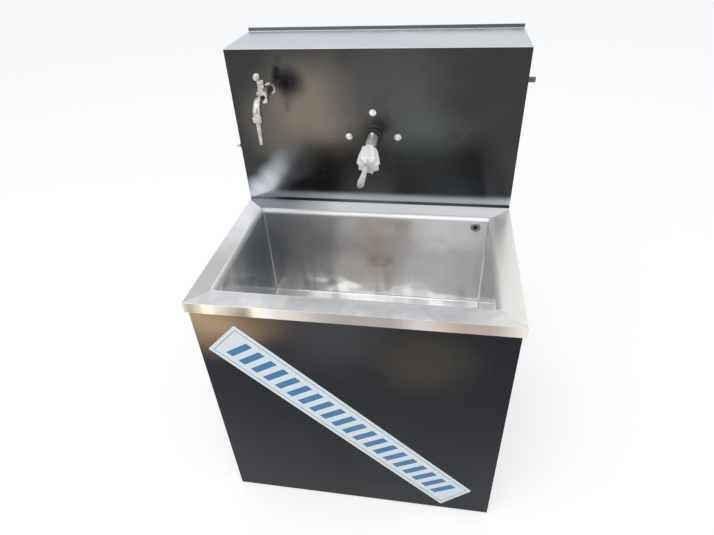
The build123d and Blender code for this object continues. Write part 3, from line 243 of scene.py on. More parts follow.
# a soft round patch, for painted reflections and painted shade
def makePatchGroup(look):
    tree, given, result = startGroup(
        "softPatch", "ShaderNodeTree",
        {
            "Vector": ("NodeSocketVector", None),
            "Centre": ("NodeSocketVector", (0.0, 0.0, 0.0)),
            "Reach": ("NodeSocketFloat", 0.2),
        },
        {"Mask": "NodeSocketFloat"},
    )
    where = given.outputs["Vector"]
    away = addNode(tree, "ShaderNodeVectorMath", {0: where, 1: given.outputs["Centre"]}, operation="DISTANCE")
    uneven = mathNode(tree, "MULTIPLY_ADD", noiseNode(tree, where, look["cloud"]), *look["uneven"])
    share = mathNode(tree, "DIVIDE", times(tree, away.outputs["Value"], uneven), given.outputs["Reach"])
    tree.links.new(rangeNode(tree, share, look["fade"], kind="SMOOTHSTEP"), result.inputs["Mask"])
    return tree


grainGroup = makeGrainGroup(effectSet["grain"])
waveGroup = makeWaveGroup(effectSet["wave"])
patchGroup = makePatchGroup(effectSet["patch"])
smudgeGroup = makeSmudgeGroup(effectSet["smudge"])
dropGroup = makeDropGroup(effectSet["drops"])

# places of the faces that patches lie on, in metres, and the ways that faces look
splashFace, panelFace, lipFace, rearWall, sideWall, stripTop = 0.143, -0.337, -0.343, 0.078, 0.316, 0.73
front, right, left, up = (0.0, -1.0, 0.0), (1.0, 0.0, 0.0), (-1.0, 0.0, 0.0), (0.0, 0.0, 1.0)

# what the dark sheets share, and what the strips of the sink top share
darkBase = {
    "tones": ((0.036, 0.039, 0.043), (0.052, 0.051, 0.051)), "metal": 1.0, "rough": (0.16, 0.32),
    "grain": (14.0, 500.0, 500.0), "bump": 0.015, "smudge": 3.2, "drops": (70.0, 0.03),
    "wave": ((3.0, 3.0, 3.0), 0.0016),
}
stripBase = {
    "metal": 0.95, "rough": (0.2, 0.34), "grain": (10.0, 400.0, 400.0), "bump": 0.006, "smudge": 14.0,
    "drops": (120.0, 0.01), "wave": ((9.0, 9.0, 9.0), 0.0016), "edge": (0.731, 0.7316, 0.55, 0.3),
    # painted reflections mottled on the lips of the sink top's strips
    "lip": (0.7312, (6.0, 6.0, 2.0), ((0.76, 0.76, 0.76), (0.8, 0.77, 0.7), (0.42, 0.4, 0.39))),
}

# finishes: tones (the grain shifts between them), metal share, rough (clean, smudged), grain (stretch per
# metre), bump of the grain, smudge scale, drops (scale, share), wave (stretch, height), patches of painted
# reflection and shade (centre, reach, tone, the way the face looks), lip (painted reflections mottled below
# a height: height, stretch, tones), foot (a band of painted reflection above a joint: joint, full height,
# faded height, tone), above (painted shade above a height: height, tone) and edge (a change with height:
# from, to, metal, roughness)
finishes = {
    "splashSheet": {
        **darkBase, "tones": ((0.037, 0.04, 0.044), (0.053, 0.052, 0.051)), "drops": (70.0, 0.02),
        # painted reflections: warm at the upper left, a pale diagonal streak of the left rim's reflection at
        # the lower left, the tap's dark reflection and shadow beside its root, and paler patches near the
        # foot
        "patches": (
            ((-0.17, splashFace, 1.0), 0.22, (0.19, 0.165, 0.135), front),
            ((0.05, splashFace, 1.07), 0.2, (0.078, 0.077, 0.08), front),
            ((0.12, splashFace, 0.91), 0.16, (0.092, 0.099, 0.1), front),
            ((-0.34, splashFace, 0.762), 0.06, (0.52, 0.54, 0.57), front),
            ((-0.297, splashFace, 0.798), 0.06, (0.46, 0.48, 0.51), front),
            ((-0.254, splashFace, 0.833), 0.06, (0.33, 0.35, 0.375), front),
            ((-0.21, splashFace, 0.867), 0.065, (0.15, 0.155, 0.165), front),
            ((-0.215, splashFace, 1.075), 0.06, (0.022, 0.024, 0.029), front),
            ((0.0, splashFace, 0.75), 0.17, (0.13, 0.14, 0.15), front),
            ((0.2, splashFace, 0.75), 0.17, (0.08, 0.09, 0.1), front),
        ),
        # painted reflection of the deck, fading up the sheet's foot above the dark joint
        "foot": (0.7415, 0.748, 0.772, (0.5, 0.52, 0.56)),
    },
    "frontSheet": {
        # tones darker than the other dark sheets': a painted dark reflection
        **darkBase, "tones": ((0.017, 0.019, 0.023), (0.028, 0.029, 0.033)), "smudge": 2.6,
        "drops": (70.0, 0.02), "wave": ((2.6, 2.6, 2.6), 0.0016),
        # painted reflections: warm brown at the upper left, and small tone shifts
        "patches": (
            ((-0.31, panelFace, 0.72), 0.21, (0.4, 0.275, 0.165), front),
            ((-0.2, panelFace, 0.73), 0.15, (0.17, 0.12, 0.075), front),
            ((-0.04, panelFace, 0.69), 0.22, (0.05, 0.048, 0.053), front),
            ((0.17, panelFace, 0.6), 0.16, (0.05, 0.045, 0.039), front),
        ),
    },
    "darkSheet": darkBase,
    "darkSheetSide": {**darkBase, "grain": (500.0, 14.0, 500.0)},
    "rimSteel": {
        **stripBase, "tones": ((0.62, 0.63, 0.66), (0.92, 0.91, 0.89)),
        # painted reflections: darker patches on the front lip, over its mottled tones
        "patches": (
            ((0.03, lipFace, 0.72), 0.26, (0.4, 0.36, 0.34), front),
            ((0.27, lipFace, 0.72), 0.15, (0.45, 0.38, 0.33), front),
        ),
        "lip": (0.7312, (6.0, 6.0, 2.0), ((0.99, 0.96, 0.9), (0.98, 0.9, 0.7), (0.3, 0.22, 0.19))),
    },
    "rimSteelSide": {
        **stripBase, "tones": ((0.54, 0.55, 0.56), (0.9, 0.89, 0.88)), "grain": (400.0, 10.0, 400.0),
        # painted reflections: bright on the right strip, darker and bright patches on the left one
        "patches": (
            ((0.37, -0.15, stripTop), 0.5, (0.93, 0.91, 0.86), up),
            ((-0.35, -0.24, stripTop), 0.2, (0.6, 0.57, 0.55), up),
            ((-0.35, 0.08, stripTop), 0.2, (0.95, 0.95, 0.96), up),
        ),
    },
    "deckSteel": {
        # paler tones than the other strips' make up for the shade behind the deck: painted light. The patch
        # is painted shade at the deck's left end.
        **stripBase, "tones": ((0.93, 0.94, 0.96), (0.98, 0.98, 0.98)), "edge": (0.731, 0.7316, 0.0, 0.34),
        "patches": (((-0.31, 0.115, stripTop), 0.24, (0.26, 0.275, 0.3), up),),
    },
    "basinSteel": {
        "tones": ((0.86, 0.87, 0.88), (0.96, 0.955, 0.94)), "metal": 0.6, "rough": (0.07, 0.17),
        "grain": (16.0, 180.0, 180.0), "bump": 0.002, "smudge": 4.5, "drops": (140.0, 0.02),
        "wave": ((8.0, 8.0, 2.4), 0.008), "edge": (0.716, 0.726, 0.4, 0.36),
        # painted reflections: brown, pale and dark patches on the walls, and an even pale patch over the
        # floor
        "patches": (
            ((0.03, rearWall, 0.63), 0.19, (0.58, 0.5, 0.45), front),
            ((0.26, rearWall, 0.6), 0.3, (0.98, 0.98, 0.98), front),
            ((0.0, -0.1, 0.442), 0.9, (0.96, 0.96, 0.96), up),
            ((sideWall, -0.05, 0.6), 0.5, (0.5, 0.5, 0.5), left),
            ((-sideWall, 0.0, 0.6), 0.36, (0.26, 0.285, 0.31), right),
            ((-0.25, rearWall, 0.64), 0.27, (0.32, 0.33, 0.34), front),
        ),
        # mottled streaks on the walls and floor, partly water stains and partly painted reflection
        "lip": (0.716, (13.0, 13.0, 2.2), ((0.98, 0.98, 0.97), (0.9, 0.87, 0.84), (0.42, 0.42, 0.42))),
    },
    "topSteel": {
        "tones": ((0.64, 0.68, 0.72), (0.73, 0.75, 0.77)), "metal": 0.8, "rough": (0.3, 0.44),
        "grain": (8.0, 900.0, 900.0), "bump": 0.05, "smudge": 4.0, "drops": (80.0, 0.01),
        # painted shade on the rear upstand above the top sheet
        "wave": ((4.0, 4.0, 4.0), 0.0012), "above": (1.1552, (0.13, 0.137, 0.146)),
    },
    "tubePaint": {
        "tones": ((0.3, 0.31, 0.32), (0.36, 0.36, 0.36)), "metal": 0.0, "rough": (0.4, 0.6),
        "grain": (600.0, 600.0, 600.0), "bump": 0.1, "smudge": 9.0, "drops": (60.0, 0.05),
    },
    "boltSteel": {
        "tones": ((0.74, 0.74, 0.73), (0.84, 0.83, 0.81)), "metal": 1.0, "rough": (0.16, 0.3),
        "grain": (900.0, 900.0, 900.0), "bump": 0.05, "smudge": 60.0, "drops": (300.0, 0.1),
    },
    "tapChrome": {
        # dark and warm mottled tones: painted reflection on the chrome
        "tones": ((0.28, 0.28, 0.285), (0.72, 0.7, 0.64)), "metal": 1.0, "rough": (0.06, 0.2),
        "grain": (500.0, 500.0, 500.0), "bump": 0.015, "smudge": 55.0, "drops": (320.0, 0.1),
    },
    "chuckSteel": {
        "tones": ((0.7, 0.68, 0.65), (0.82, 0.8, 0.77)), "metal": 0.6, "rough": (0.28, 0.44),
        "grain": (900.0, 60.0, 900.0), "bump": 0.04, "smudge": 40.0, "drops": (300.0, 0.05),
    },
    "inletSteel": {
        "tones": ((0.1, 0.1, 0.105), (0.19, 0.185, 0.175)), "metal": 1.0, "rough": (0.28, 0.46),
        "grain": (900.0, 900.0, 900.0), "bump": 0.1, "smudge": 60.0, "drops": (300.0, 0.1),
    },
    "motorPaint": {
        "tones": ((0.16, 0.2, 0.24), (0.2, 0.24, 0.28)), "metal": 0.0, "rough": (0.35, 0.55),
        "grain": (450.0, 450.0, 450.0), "bump": 0.15, "smudge": 14.0, "drops": (90.0, 0.04),
    },
    "machinedSteel": {
        "tones": ((0.5, 0.5, 0.5), (0.6, 0.59, 0.57)), "metal": 1.0, "rough": (0.25, 0.4),
        "grain": (900.0, 60.0, 900.0), "bump": 0.06, "smudge": 30.0, "drops": (200.0, 0.05),
    },
    "copper": {
        "tones": ((0.72, 0.36, 0.2), (0.55, 0.3, 0.18)), "metal": 1.0, "rough": (0.25, 0.45),
        "grain": (120.0, 500.0, 500.0), "bump": 0.05, "smudge": 18.0, "drops": (200.0, 0.1),
    },
    "blackRubber": {
        "tones": ((0.018, 0.018, 0.019), (0.035, 0.035, 0.036)), "metal": 0.0, "rough": (0.55, 0.8),
        "grain": (1200.0, 1200.0, 1200.0), "bump": 0.2, "smudge": 40.0, "drops": (150.0, 0.05),
    },
    "blackPlastic": {
        "tones": ((0.025, 0.025, 0.027), (0.04, 0.04, 0.043)), "metal": 0.0, "rough": (0.38, 0.55),
        "grain": (1500.0, 1500.0, 1500.0), "bump": 0.15, "smudge": 25.0, "drops": (150.0, 0.05),
    },
    "greyPlastic": {
        "tones": ((0.52, 0.53, 0.54), (0.6, 0.6, 0.6)), "metal": 0.0, "rough": (0.35, 0.5),
        "grain": (900.0, 900.0, 900.0), "bump": 0.08, "smudge": 16.0, "drops": (120.0, 0.05),
    },
    "whitePlastic": {
        "tones": ((0.82, 0.82, 0.79), (0.74, 0.73, 0.69)), "metal": 0.0, "rough": (0.22, 0.4),
        "grain": (900.0, 900.0, 900.0), "bump": 0.04, "smudge": 60.0, "drops": (300.0, 0.05),
    },
    "leadSheath": {
        "tones": ((0.2, 0.2, 0.21), (0.26, 0.26, 0.27)), "metal": 0.0, "rough": (0.45, 0.6),
        "grain": (700.0, 700.0, 700.0), "bump": 0.1, "smudge": 20.0, "drops": (150.0, 0.03),
    },
    "signVinyl": {
        "tones": ((0.86, 0.95, 0.99), (0.9, 0.96, 0.99)), "metal": 0.0, "rough": (0.3, 0.5),
        "grain": (300.0, 300.0, 300.0), "bump": 0.04, "smudge": 12.0, "drops": (160.0, 0.06),
    },
    "signInk": {
        "tones": ((0.03, 0.19, 0.42), (0.06, 0.25, 0.5)), "metal": 0.0, "rough": (0.35, 0.55),
        "grain": (500.0, 500.0, 500.0), "bump": 0.04, "smudge": 25.0, "drops": (200.0, 0.1),
    },
}

# how strongly grain, smudges and drops change any finish, and the mottling of a lip's painted reflections
mixSet = {"grain": 0.5, "smudge": 0.6, "drop": 0.5, "dull": (0.15, 1.0), "grainDepth": 0.0005}
lipSet = {
    "cloud": {"Scale": 1.0, "Detail": 2.0, "Distortion": 0.4}, "warm": (0.38, 0.52), "shaded": (0.56, 0.68),
}


def placeEffect(tree, group, inputs):
    return addNode(tree, "ShaderNodeGroup", inputs, node_tree=group).outputs


# painted reflections: mottled tones below a height, standing in for the surroundings that a lip shows
def paintMottledReflection(tree, where, colour, height, stretch, tones):
    cloud = noiseNode(tree, stretchNode(tree, where, stretch), lipSet["cloud"])
    bright, warm, shaded = [opaque(tone) for tone in tones]
    mottled = blendTone(tree, rangeNode(tree, cloud, lipSet["warm"]), bright, warm)
    mottled = blendTone(tree, rangeNode(tree, cloud, lipSet["shaded"]), mottled, shaded)
    return blendTone(tree, mathNode(tree, "LESS_THAN", heightOf(tree, where), height), colour, mottled)


# lays one soft patch of painted reflection and shade on the faces that look its way
def paintPatch(tree, where, outwards, colour, centre, reach, tone, facing):
    patch = placeEffect(tree, patchGroup, {"Vector": where, "Centre": centre, "Reach": reach})
    faced = addNode(tree, "ShaderNodeVectorMath", {0: outwards, 1: facing}, operation="DOT_PRODUCT")
    return blendTone(tree, times(tree, patch["Mask"], faced.outputs["Value"]), colour, opaque(tone))


# painted reflection: a band that fades upwards from just above the joint at a sheet's foot
def paintFootReflection(tree, where, colour, joint, full, faded, tone):
    level = heightOf(tree, where)
    rise = rangeNode(tree, level, (faded, full), kind="SMOOTHSTEP")
    band = times(tree, rise, mathNode(tree, "GREATER_THAN", level, joint))
    return blendTone(tree, band, colour, opaque(tone))


# painted shade: everything above a height takes a darker tone
def paintShadeAbove(tree, where, colour, height, tone):
    higher = mathNode(tree, "GREATER_THAN", heightOf(tree, where), height)
    return blendTone(tree, higher, colour, opaque(tone))


def makeFinish(name, look):
    material = bpy.data.materials.new(name)
    material.use_nodes = True
    tree = material.node_tree
    shader = tree.nodes["Principled BSDF"]
    coordinates = tree.nodes.new("ShaderNodeTexCoord")
    where, outwards = coordinates.outputs["Object"], coordinates.outputs["Normal"]
    dropScale, dropShare = look["drops"]
    grain = placeEffect(tree, grainGroup, {"Vector": where, "Stretch": look["grain"]})
    smudge = placeEffect(tree, smudgeGroup, {"Vector": where, "Scale": look["smudge"]})
    drops = placeEffect(tree, dropGroup, {"Vector": where, "Scale": dropScale, "Share": dropShare})
    # colour: grain and smudges shift between the tones, and a dried drop takes the second one
    first, second = [opaque(tone) for tone in look["tones"]]
    shift = times(tree, grain["Shade"], mixSet["grain"])
    shift = mathNode(tree, "MULTIPLY_ADD", smudge["Patch"], mixSet["smudge"], shift)
    colour = blendTone(tree, mathNode(tree, "MAXIMUM", shift, drops["Mask"]), first, second)
    # painted reflections, painted shade and painted highlights, laid over the sheet's own tones
    if "lip" in look:
        colour = paintMottledReflection(tree, where, colour, *look["lip"])
    for patch in look.get("patches", ()):
        colour = paintPatch(tree, where, outwards, colour, *patch)
    if "foot" in look:
        colour = paintFootReflection(tree, where, colour, *look["foot"])
    if "above" in look:
        colour = paintShadeAbove(tree, where, colour, *look["above"])
    tree.links.new(colour, shader.inputs["Base Color"])
    # roughness: wiped film and dried drops are duller than the clean sheet
    haze = mathNode(tree, "MULTIPLY_ADD", drops["Mask"], mixSet["drop"], smudge["Mask"])
    dull = mathNode(tree, "MULTIPLY_ADD", grain["Shade"], mixSet["grain"], haze)
    rough = rangeNode(tree, dull, mixSet["dull"], look["rough"])
    shader.inputs["Metallic"].default_value = look["metal"]
    if "edge" in look:
        low, high, metalAbove, roughAbove = look["edge"]
        level = heightOf(tree, where)
        metal = rangeNode(tree, level, (low, high), (look["metal"], metalAbove))
        tree.links.new(metal, shader.inputs["Metallic"])
        rough = rangeNode(tree, level, (low, high), (rough, roughAbove))
    tree.links.new(rough, shader.inputs["Roughness"])
    # relief: waviness below, grain on top
    bump = addNode(
        tree, "ShaderNodeBump",
        {"Strength": look["bump"], "Distance": mixSet["grainDepth"], "Height": grain["Height"]},
    )
    if "wave" in look:
        stretch, depth = look["wave"]
        wave = placeEffect(tree, waveGroup, {"Vector": where, "Stretch": stretch})
        swell = addNode(
            tree, "ShaderNodeBump", {"Strength": 1.0, "Distance": depth, "Height": wave["Height"]}
        )
        tree.links.new(swell.outputs[0], bump.inputs["Normal"])
    tree.links.new(bump.outputs[0], shader.inputs["Normal"])
    return material


made = {name: makeFinish(name, look) for name, look in finishes.items()}

# which finish each of the record's slots takes, and the nodes that differ from their slot
slotFinish = {
    "dark_panel": "darkSheet", "bright_steel": "rimSteel", "frame_tube": "tubePaint",
    "screw_steel": "boltSteel", "tap_chrome": "tapChrome", "motor_paint": "motorPaint",
    "motor_steel": "machinedSteel", "copper": "copper", "black_rubber": "blackRubber",
    "black_plastic": "blackPlastic", "grey_plastic": "greyPlastic", "white_plastic": "whitePlastic",
    "bristle": "whitePlastic", "lead_grey": "leadSheath",
}
nodeFinish = {
    "splash_panel": "splashSheet", "front_panel": "frontSheet",
    "left_panel": "darkSheetSide", "right_panel": "darkSheetSide",
    "box_left_panel": "darkSheetSide", "box_right_panel": "darkSheetSide",
    "rear_deck": "deckSteel", "rim_left": "rimSteelSide", "rim_right": "rimSteelSide",
    "basin": "basinSteel", "box_top": "topSteel",
    "brush_chuck": "chuckSteel", "inlet_nipple": "inletSteel",
    "drain_strainer": "boltSteel", "overflow_fitting": "machinedSteel",
}

for part in frame["record"]["subparts"]:
    piece = nodes[part["node"]]
    piece.data.materials.clear()
    piece.data.materials.append(made[nodeFinish.get(part["node"], slotFinish[part["material_slot"]])])
print("finishes set on the CAD nodes")

# brush: bristles held in a twisted wire that droops from the chuck, sizes in metres from the wire's bend
brushSet = {
    "bend": (0.0, 0.06565, 0.932), "grip": (0.0, 0.09615, 0.932), "droop": 16.0, "seed": 11,
    "bell": {
        "Strands": 7000, "Start": 0.0045, "Length": 0.068, "Rear radius": 0.017, "Front radius": 0.031,
        "Lean": 0.7, "Drift": 0.006, "Ridge": 0.16, "Rounding": 0.75, "Core radius": 0.93,
        "Core length": 0.96, "Strand radius": 0.00045,
    },
    "bellForm": {
        "flare": 0.45, "roundedPart": (0.82, 1.0), "ridges": 9.0, "twist": 2.0, "gather": 0.09,
        "rootRadius": 0.002, "wander": 0.12, "shortest": 0.92, "bow": 2.0, "upright": 4.0,
    },
    "core": {"steps": 28, "sides": 90, "shade": 0.7},
    "tuft": {
        "Strands": 480, "Start": 0.06, "Length": 0.0785, "Spread": 0.0082, "Drift": -0.005,
        "Strand radius": 0.00034,
    },
    "tuftForm": {"innermost": 0.02, "wander": 0.5, "splay": (0.6, 0.4), "shortest": 0.8, "bow": 2.0},
    "strand": {"steps": 5, "sides": 3, "taper": -0.25, "turn": 2.399963},
    "wire": {"Wire radius": 0.0015, "Pitch": 0.012, "Bend radius": 0.025}, "wireEnd": 0.0645,
    "wireDetail": {"bendSteps": 8, "steps": 150, "sides": 10},
}
nylonSet = {
    "clump": {"Scale": 160.0, "Detail": 3.0}, "clumpShare": 0.7, "pale": (0.3, 1.15),
    "tones": ((0.9, 0.895, 0.885), (0.99, 0.99, 0.98)), "rough": (0.3, 0.55),
}


def makeNylon(look):
    material = bpy.data.materials.new("bristleNylon")
    material.use_nodes = True
    tree = material.node_tree
    shader = tree.nodes["Principled BSDF"]
    share = addNode(tree, "ShaderNodeAttribute", attribute_name="strandShare").outputs["Fac"]
    where = tree.nodes.new("ShaderNodeTexCoord").outputs["Object"]
    clump = noiseNode(tree, where, look["clump"])
    # strands darker towards their roots and paler at the tips: painted shade inside the bell
    pale = rangeNode(tree, mathNode(tree, "MULTIPLY_ADD", clump, look["clumpShare"], share), look["pale"])
    colour = blendTone(tree, pale, *[opaque(tone) for tone in look["tones"]])
    tree.links.new(colour, shader.inputs["Base Color"])
    tree.links.new(rangeNode(tree, clump, (0.0, 1.0), look["rough"]), shader.inputs["Roughness"])
    return material


# the strand that a point belongs to, and how far along it the point is
def strandFields(tree):
    steps = brushSet["strand"]["steps"]
    index = tree.nodes.new("GeometryNodeInputIndex").outputs[0]
    strand = mathNode(tree, "FLOOR", mathNode(tree, "DIVIDE", index, steps))
    share = mathNode(tree, "DIVIDE", mathNode(tree, "MODULO", index, steps), steps - 1)
    return strand, share


def strandRandom(tree, strand, low, high, seed):
    pick = addNode(tree, "FunctionNodeRandomValue", {2: low, 3: high, 7: strand, 8: seed}, data_type="FLOAT")
    return pick.outputs[1]


def markShare(tree, geometry, value):
    return addNode(
        tree, "GeometryNodeStoreNamedAttribute",
        {"Geometry": geometry, "Name": "strandShare", "Value": value}, data_type="FLOAT", domain="POINT",
    ).outputs[0]


# points on a round section become tapered strands, turned to the drooping axis
def finishStrands(tree, given, result, strand, share, radius, angle, along, aside, core=None):
    look = brushSet["strand"]
    spot = addNode(
        tree, "ShaderNodeCombineXYZ",
        {
            0: mathNode(tree, "MULTIPLY_ADD", radius, mathNode(tree, "COSINE", angle), aside),
            1: times(tree, radius, mathNode(tree, "SINE", angle)),
            2: along,
        },
    )
    count = times(tree, given.outputs["Strands"], look["steps"])
    points = addNode(tree, "GeometryNodePoints", {"Count": count, "Position": spot.outputs[0]})
    strands = addNode(
        tree, "GeometryNodePointsToCurves",
        {"Points": points.outputs[0], "Curve Group ID": strand, "Weight": share},
    )
    length = tree.nodes.new("GeometryNodeSplineParameter").outputs["Factor"]
    marked = markShare(tree, strands.outputs[0], length)
    taper = {"Scale": mathNode(tree, "MULTIPLY_ADD", length, look["taper"], 1.0)}
    solid = sweep(tree, marked, look["sides"], given.outputs["Strand radius"], taper)
    heap = addNode(tree, "GeometryNodeJoinGeometry", {0: solid})
    if core:
        tree.links.new(core, heap.inputs[0])
    droop = (math.radians(90.0 + brushSet["droop"]), 0.0, 0.0)
    turned = addNode(
        tree, "GeometryNodeTransform",
        {"Geometry": heap.outputs[0], "Translation": brushSet["bend"], "Rotation": droop},
    )
    endTree(tree, given, result, turned.outputs[0])


# how far the bell's strands reach at a place along it: flared, with a rounded front
def bellOutline(tree, given, place):
    look = brushSet["bellForm"]
    rear = given.outputs["Rear radius"]
    widen = mathNode(tree, "SUBTRACT", given.outputs["Front radius"], rear)
    flare = mathNode(tree, "MULTIPLY_ADD", mathNode(tree, "POWER", place, look["flare"]), widen, rear)
    near = rangeNode(tree, place, look["roundedPart"])
    curl = times(tree, near, near, given.outputs["Rounding"])
    return times(tree, flare, mathNode(tree, "SQRT", mathNode(tree, "SUBTRACT", 1.0, curl)))


# how deep the grooves between the bell's ridges are
def bellGroove(tree, given, phase):
    hollow = mathNode(tree, "MULTIPLY_ADD", mathNode(tree, "COSINE", phase), 0.5, 0.5)
    return mathNode(tree, "SUBTRACT", 1.0, times(tree, hollow, given.outputs["Ridge"]))


def bellPhase(tree, turn, place):
    look = brushSet["bellForm"]
    return mathNode(tree, "MULTIPLY_ADD", turn, look["ridges"], times(tree, place, look["twist"]))


# the inner strands, taken as one body under the outer ones
def makeBellCore(tree, given):
    look = brushSet["core"]
    line = addNode(tree, "GeometryNodeCurvePrimitiveLine", {"Start": (0.0, 0.0, 0.0), "End": (0.0, 0.0, 1.0)})
    steps = addNode(
        tree, "GeometryNodeResampleCurve", {"Curve": line.outputs[0], "Count": look["steps"]}, mode="COUNT"
    )
    place = tree.nodes.new("GeometryNodeSplineParameter").outputs["Factor"]
    outline = {"Scale": bellOutline(tree, given, place)}
    tube = sweep(tree, steps.outputs[0], look["sides"], given.outputs["Core radius"], outline)
    position = tree.nodes.new("GeometryNodeInputPosition").outputs[0]
    spot = addNode(tree, "ShaderNodeSeparateXYZ", {0: position})
    height = spot.outputs["Z"]
    turn = mathNode(tree, "ARCTAN2", spot.outputs["Y"], spot.outputs["X"])
    groove = bellGroove(tree, given, bellPhase(tree, turn, height))
    reach = times(tree, given.outputs["Length"], given.outputs["Core length"])
    drift = times(tree, height, given.outputs["Drift"])
    moved = addNode(
        tree, "ShaderNodeCombineXYZ",
        {
            0: mathNode(tree, "MULTIPLY_ADD", spot.outputs["X"], groove, drift),
            1: times(tree, spot.outputs["Y"], groove),
            2: mathNode(tree, "MULTIPLY_ADD", height, reach, given.outputs["Start"]),
        },
    )
    body = addNode(tree, "GeometryNodeSetPosition", {"Geometry": tube, "Position": moved.outputs[0]})
    smooth = addNode(tree, "GeometryNodeSetShadeSmooth", {"Geometry": body.outputs[0]})
    return markShare(tree, smooth.outputs[0], look["shade"])


# bell: strands stand out from the wire and lean towards the front, in soft ridges
def makeBellTree():
    look = brushSet["bellForm"]
    tree, given, result = startGroup(
        "bellStrands", "GeometryNodeTree",
        {
            "Strands": ("NodeSocketInt", 1000),
            **floatSockets({
                "Start": 0.0, "Length": 0.05, "Rear radius": 0.01, "Front radius": 0.03, "Lean": 0.2,
                "Drift": 0.0, "Ridge": 0.1, "Rounding": 0.6, "Core radius": 0.9, "Core length": 0.9,
                "Strand radius": 0.0003,
            }),
            "Seed": ("NodeSocketInt", 1), "Material": ("NodeSocketMaterial", None),
        },
        {"Geometry": "NodeSocketGeometry"},
    )
    seed, root = given.outputs["Seed"], look["rootRadius"]
    strand, share = strandFields(tree)
    place = mathNode(tree, "DIVIDE", mathNode(tree, "ADD", strand, 0.5), given.outputs["Strands"])
    wander = strandRandom(tree, strand, -look["wander"], look["wander"], seed)
    turn = mathNode(tree, "MULTIPLY_ADD", strand, brushSet["strand"]["turn"], wander)
    phase = bellPhase(tree, turn, place)
    gather = times(tree, mathNode(tree, "SINE", phase), times(tree, share, look["gather"]))
    uneven = strandRandom(tree, strand, look["shortest"], 1.0, mathNode(tree, "ADD", seed, 5.0))
    reach = times(tree, bellOutline(tree, given, place), bellGroove(tree, given, phase), uneven)
    radius = mathNode(tree, "MULTIPLY_ADD", mathNode(tree, "SUBTRACT", reach, root), share, root)
    back = mathNode(tree, "SUBTRACT", 1.0, mathNode(tree, "POWER", share, look["bow"]))
    upright = mathNode(tree, "SUBTRACT", 1.0, mathNode(tree, "POWER", place, look["upright"]))
    slope = times(tree, upright, given.outputs["Lean"])
    lean = mathNode(tree, "SUBTRACT", 1.0, times(tree, back, slope))
    run = times(tree, given.outputs["Length"], place, lean)
    along = mathNode(tree, "ADD", given.outputs["Start"], run)
    aside = times(tree, place, share, given.outputs["Drift"])
    angle = mathNode(tree, "ADD", turn, gather)
    finishStrands(tree, given, result, strand, share, radius, angle, along, aside, makeBellCore(tree, given))
    return tree


# tuft: a bunch of long strands out of the bell's front
def makeTuftTree():
    look = brushSet["tuftForm"]
    tree, given, result = startGroup(
        "tuftStrands", "GeometryNodeTree",
        {
            "Strands": ("NodeSocketInt", 100),
            **floatSockets({
                "Start": 0.0, "Length": 0.05, "Spread": 0.006, "Drift": 0.0, "Strand radius": 0.0003,
            }),
            "Seed": ("NodeSocketInt", 1), "Material": ("NodeSocketMaterial", None),
        },
        {"Geometry": "NodeSocketGeometry"},
    )
    strand, share = strandFields(tree)
    seed = given.outputs["Seed"]
    fill = mathNode(tree, "SQRT", strandRandom(tree, strand, look["innermost"], 1.0, seed))
    wander = strandRandom(tree, strand, -look["wander"], look["wander"], mathNode(tree, "ADD", seed, 3.0))
    turn = mathNode(tree, "MULTIPLY_ADD", strand, brushSet["strand"]["turn"], times(tree, wander, share))
    splay = mathNode(tree, "MULTIPLY_ADD", share, *look["splay"])
    radius = times(tree, fill, given.outputs["Spread"], splay)
    uneven = strandRandom(tree, strand, look["shortest"], 1.0, mathNode(tree, "ADD", seed, 7.0))
    run = times(tree, given.outputs["Length"], share, uneven)
    along = mathNode(tree, "ADD", given.outputs["Start"], run)
    aside = times(tree, mathNode(tree, "POWER", share, look["bow"]), given.outputs["Drift"])
    finishStrands(tree, given, result, strand, share, radius, turn, along, aside)
    return tree


# wire: two strands twisted round a path of straight runs with a filleted bend
def makeWireTree():
    look = brushSet["wireDetail"]
    tree, given, result = startGroup(
        "twistedWire", "GeometryNodeTree",
        {
            "Geometry": ("NodeSocketGeometry", None),
            **floatSockets({"Wire radius": 0.0015, "Pitch": 0.01, "Bend radius": 0.02}),
            "Material": ("NodeSocketMaterial", None),
        },
        {"Geometry": "NodeSocketGeometry"},
    )
    radius = given.outputs["Wire radius"]
    path = addNode(tree, "GeometryNodeMeshToCurve", {0: given.outputs["Geometry"]})
    bent = addNode(
        tree, "GeometryNodeFilletCurve",
        {"Curve": path.outputs[0], "Count": look["bendSteps"], "Radius": given.outputs["Bend radius"]},
        mode="POLY",
    )
    fine = addNode(
        tree, "GeometryNodeResampleCurve", {"Curve": bent.outputs[0], "Count": look["steps"]}, mode="COUNT"
    )
    length = tree.nodes.new("GeometryNodeSplineParameter").outputs["Length"]
    side = tree.nodes.new("GeometryNodeInputNormal").outputs["Normal"]
    ahead = tree.nodes.new("GeometryNodeInputTangent").outputs["Tangent"]
    across = addNode(tree, "ShaderNodeVectorMath", {0: ahead, 1: side}, operation="CROSS_PRODUCT").outputs[0]
    turn = times(tree, mathNode(tree, "DIVIDE", length, given.outputs["Pitch"]), 2 * math.pi)
    both = tree.nodes.new("GeometryNodeJoinGeometry")
    for start in (0.0, math.pi):
        angle = mathNode(tree, "ADD", turn, start)
        shifts = []
        for way, wave in ((side, "COSINE"), (across, "SINE")):
            reach = times(tree, mathNode(tree, wave, angle), radius)
            shifts.append(addNode(tree, "ShaderNodeVectorMath", {0: way, "Scale": reach}, operation="SCALE"))
        sums = {at: shift.outputs[0] for at, shift in enumerate(shifts)}
        offset = addNode(tree, "ShaderNodeVectorMath", sums, operation="ADD").outputs[0]
        strand = addNode(tree, "GeometryNodeSetPosition", {"Geometry": fine.outputs[0], "Offset": offset})
        tree.links.new(strand.outputs[0], both.inputs[0])
    endTree(tree, given, result, sweep(tree, both.outputs[0], look["sides"], radius))
    return tree


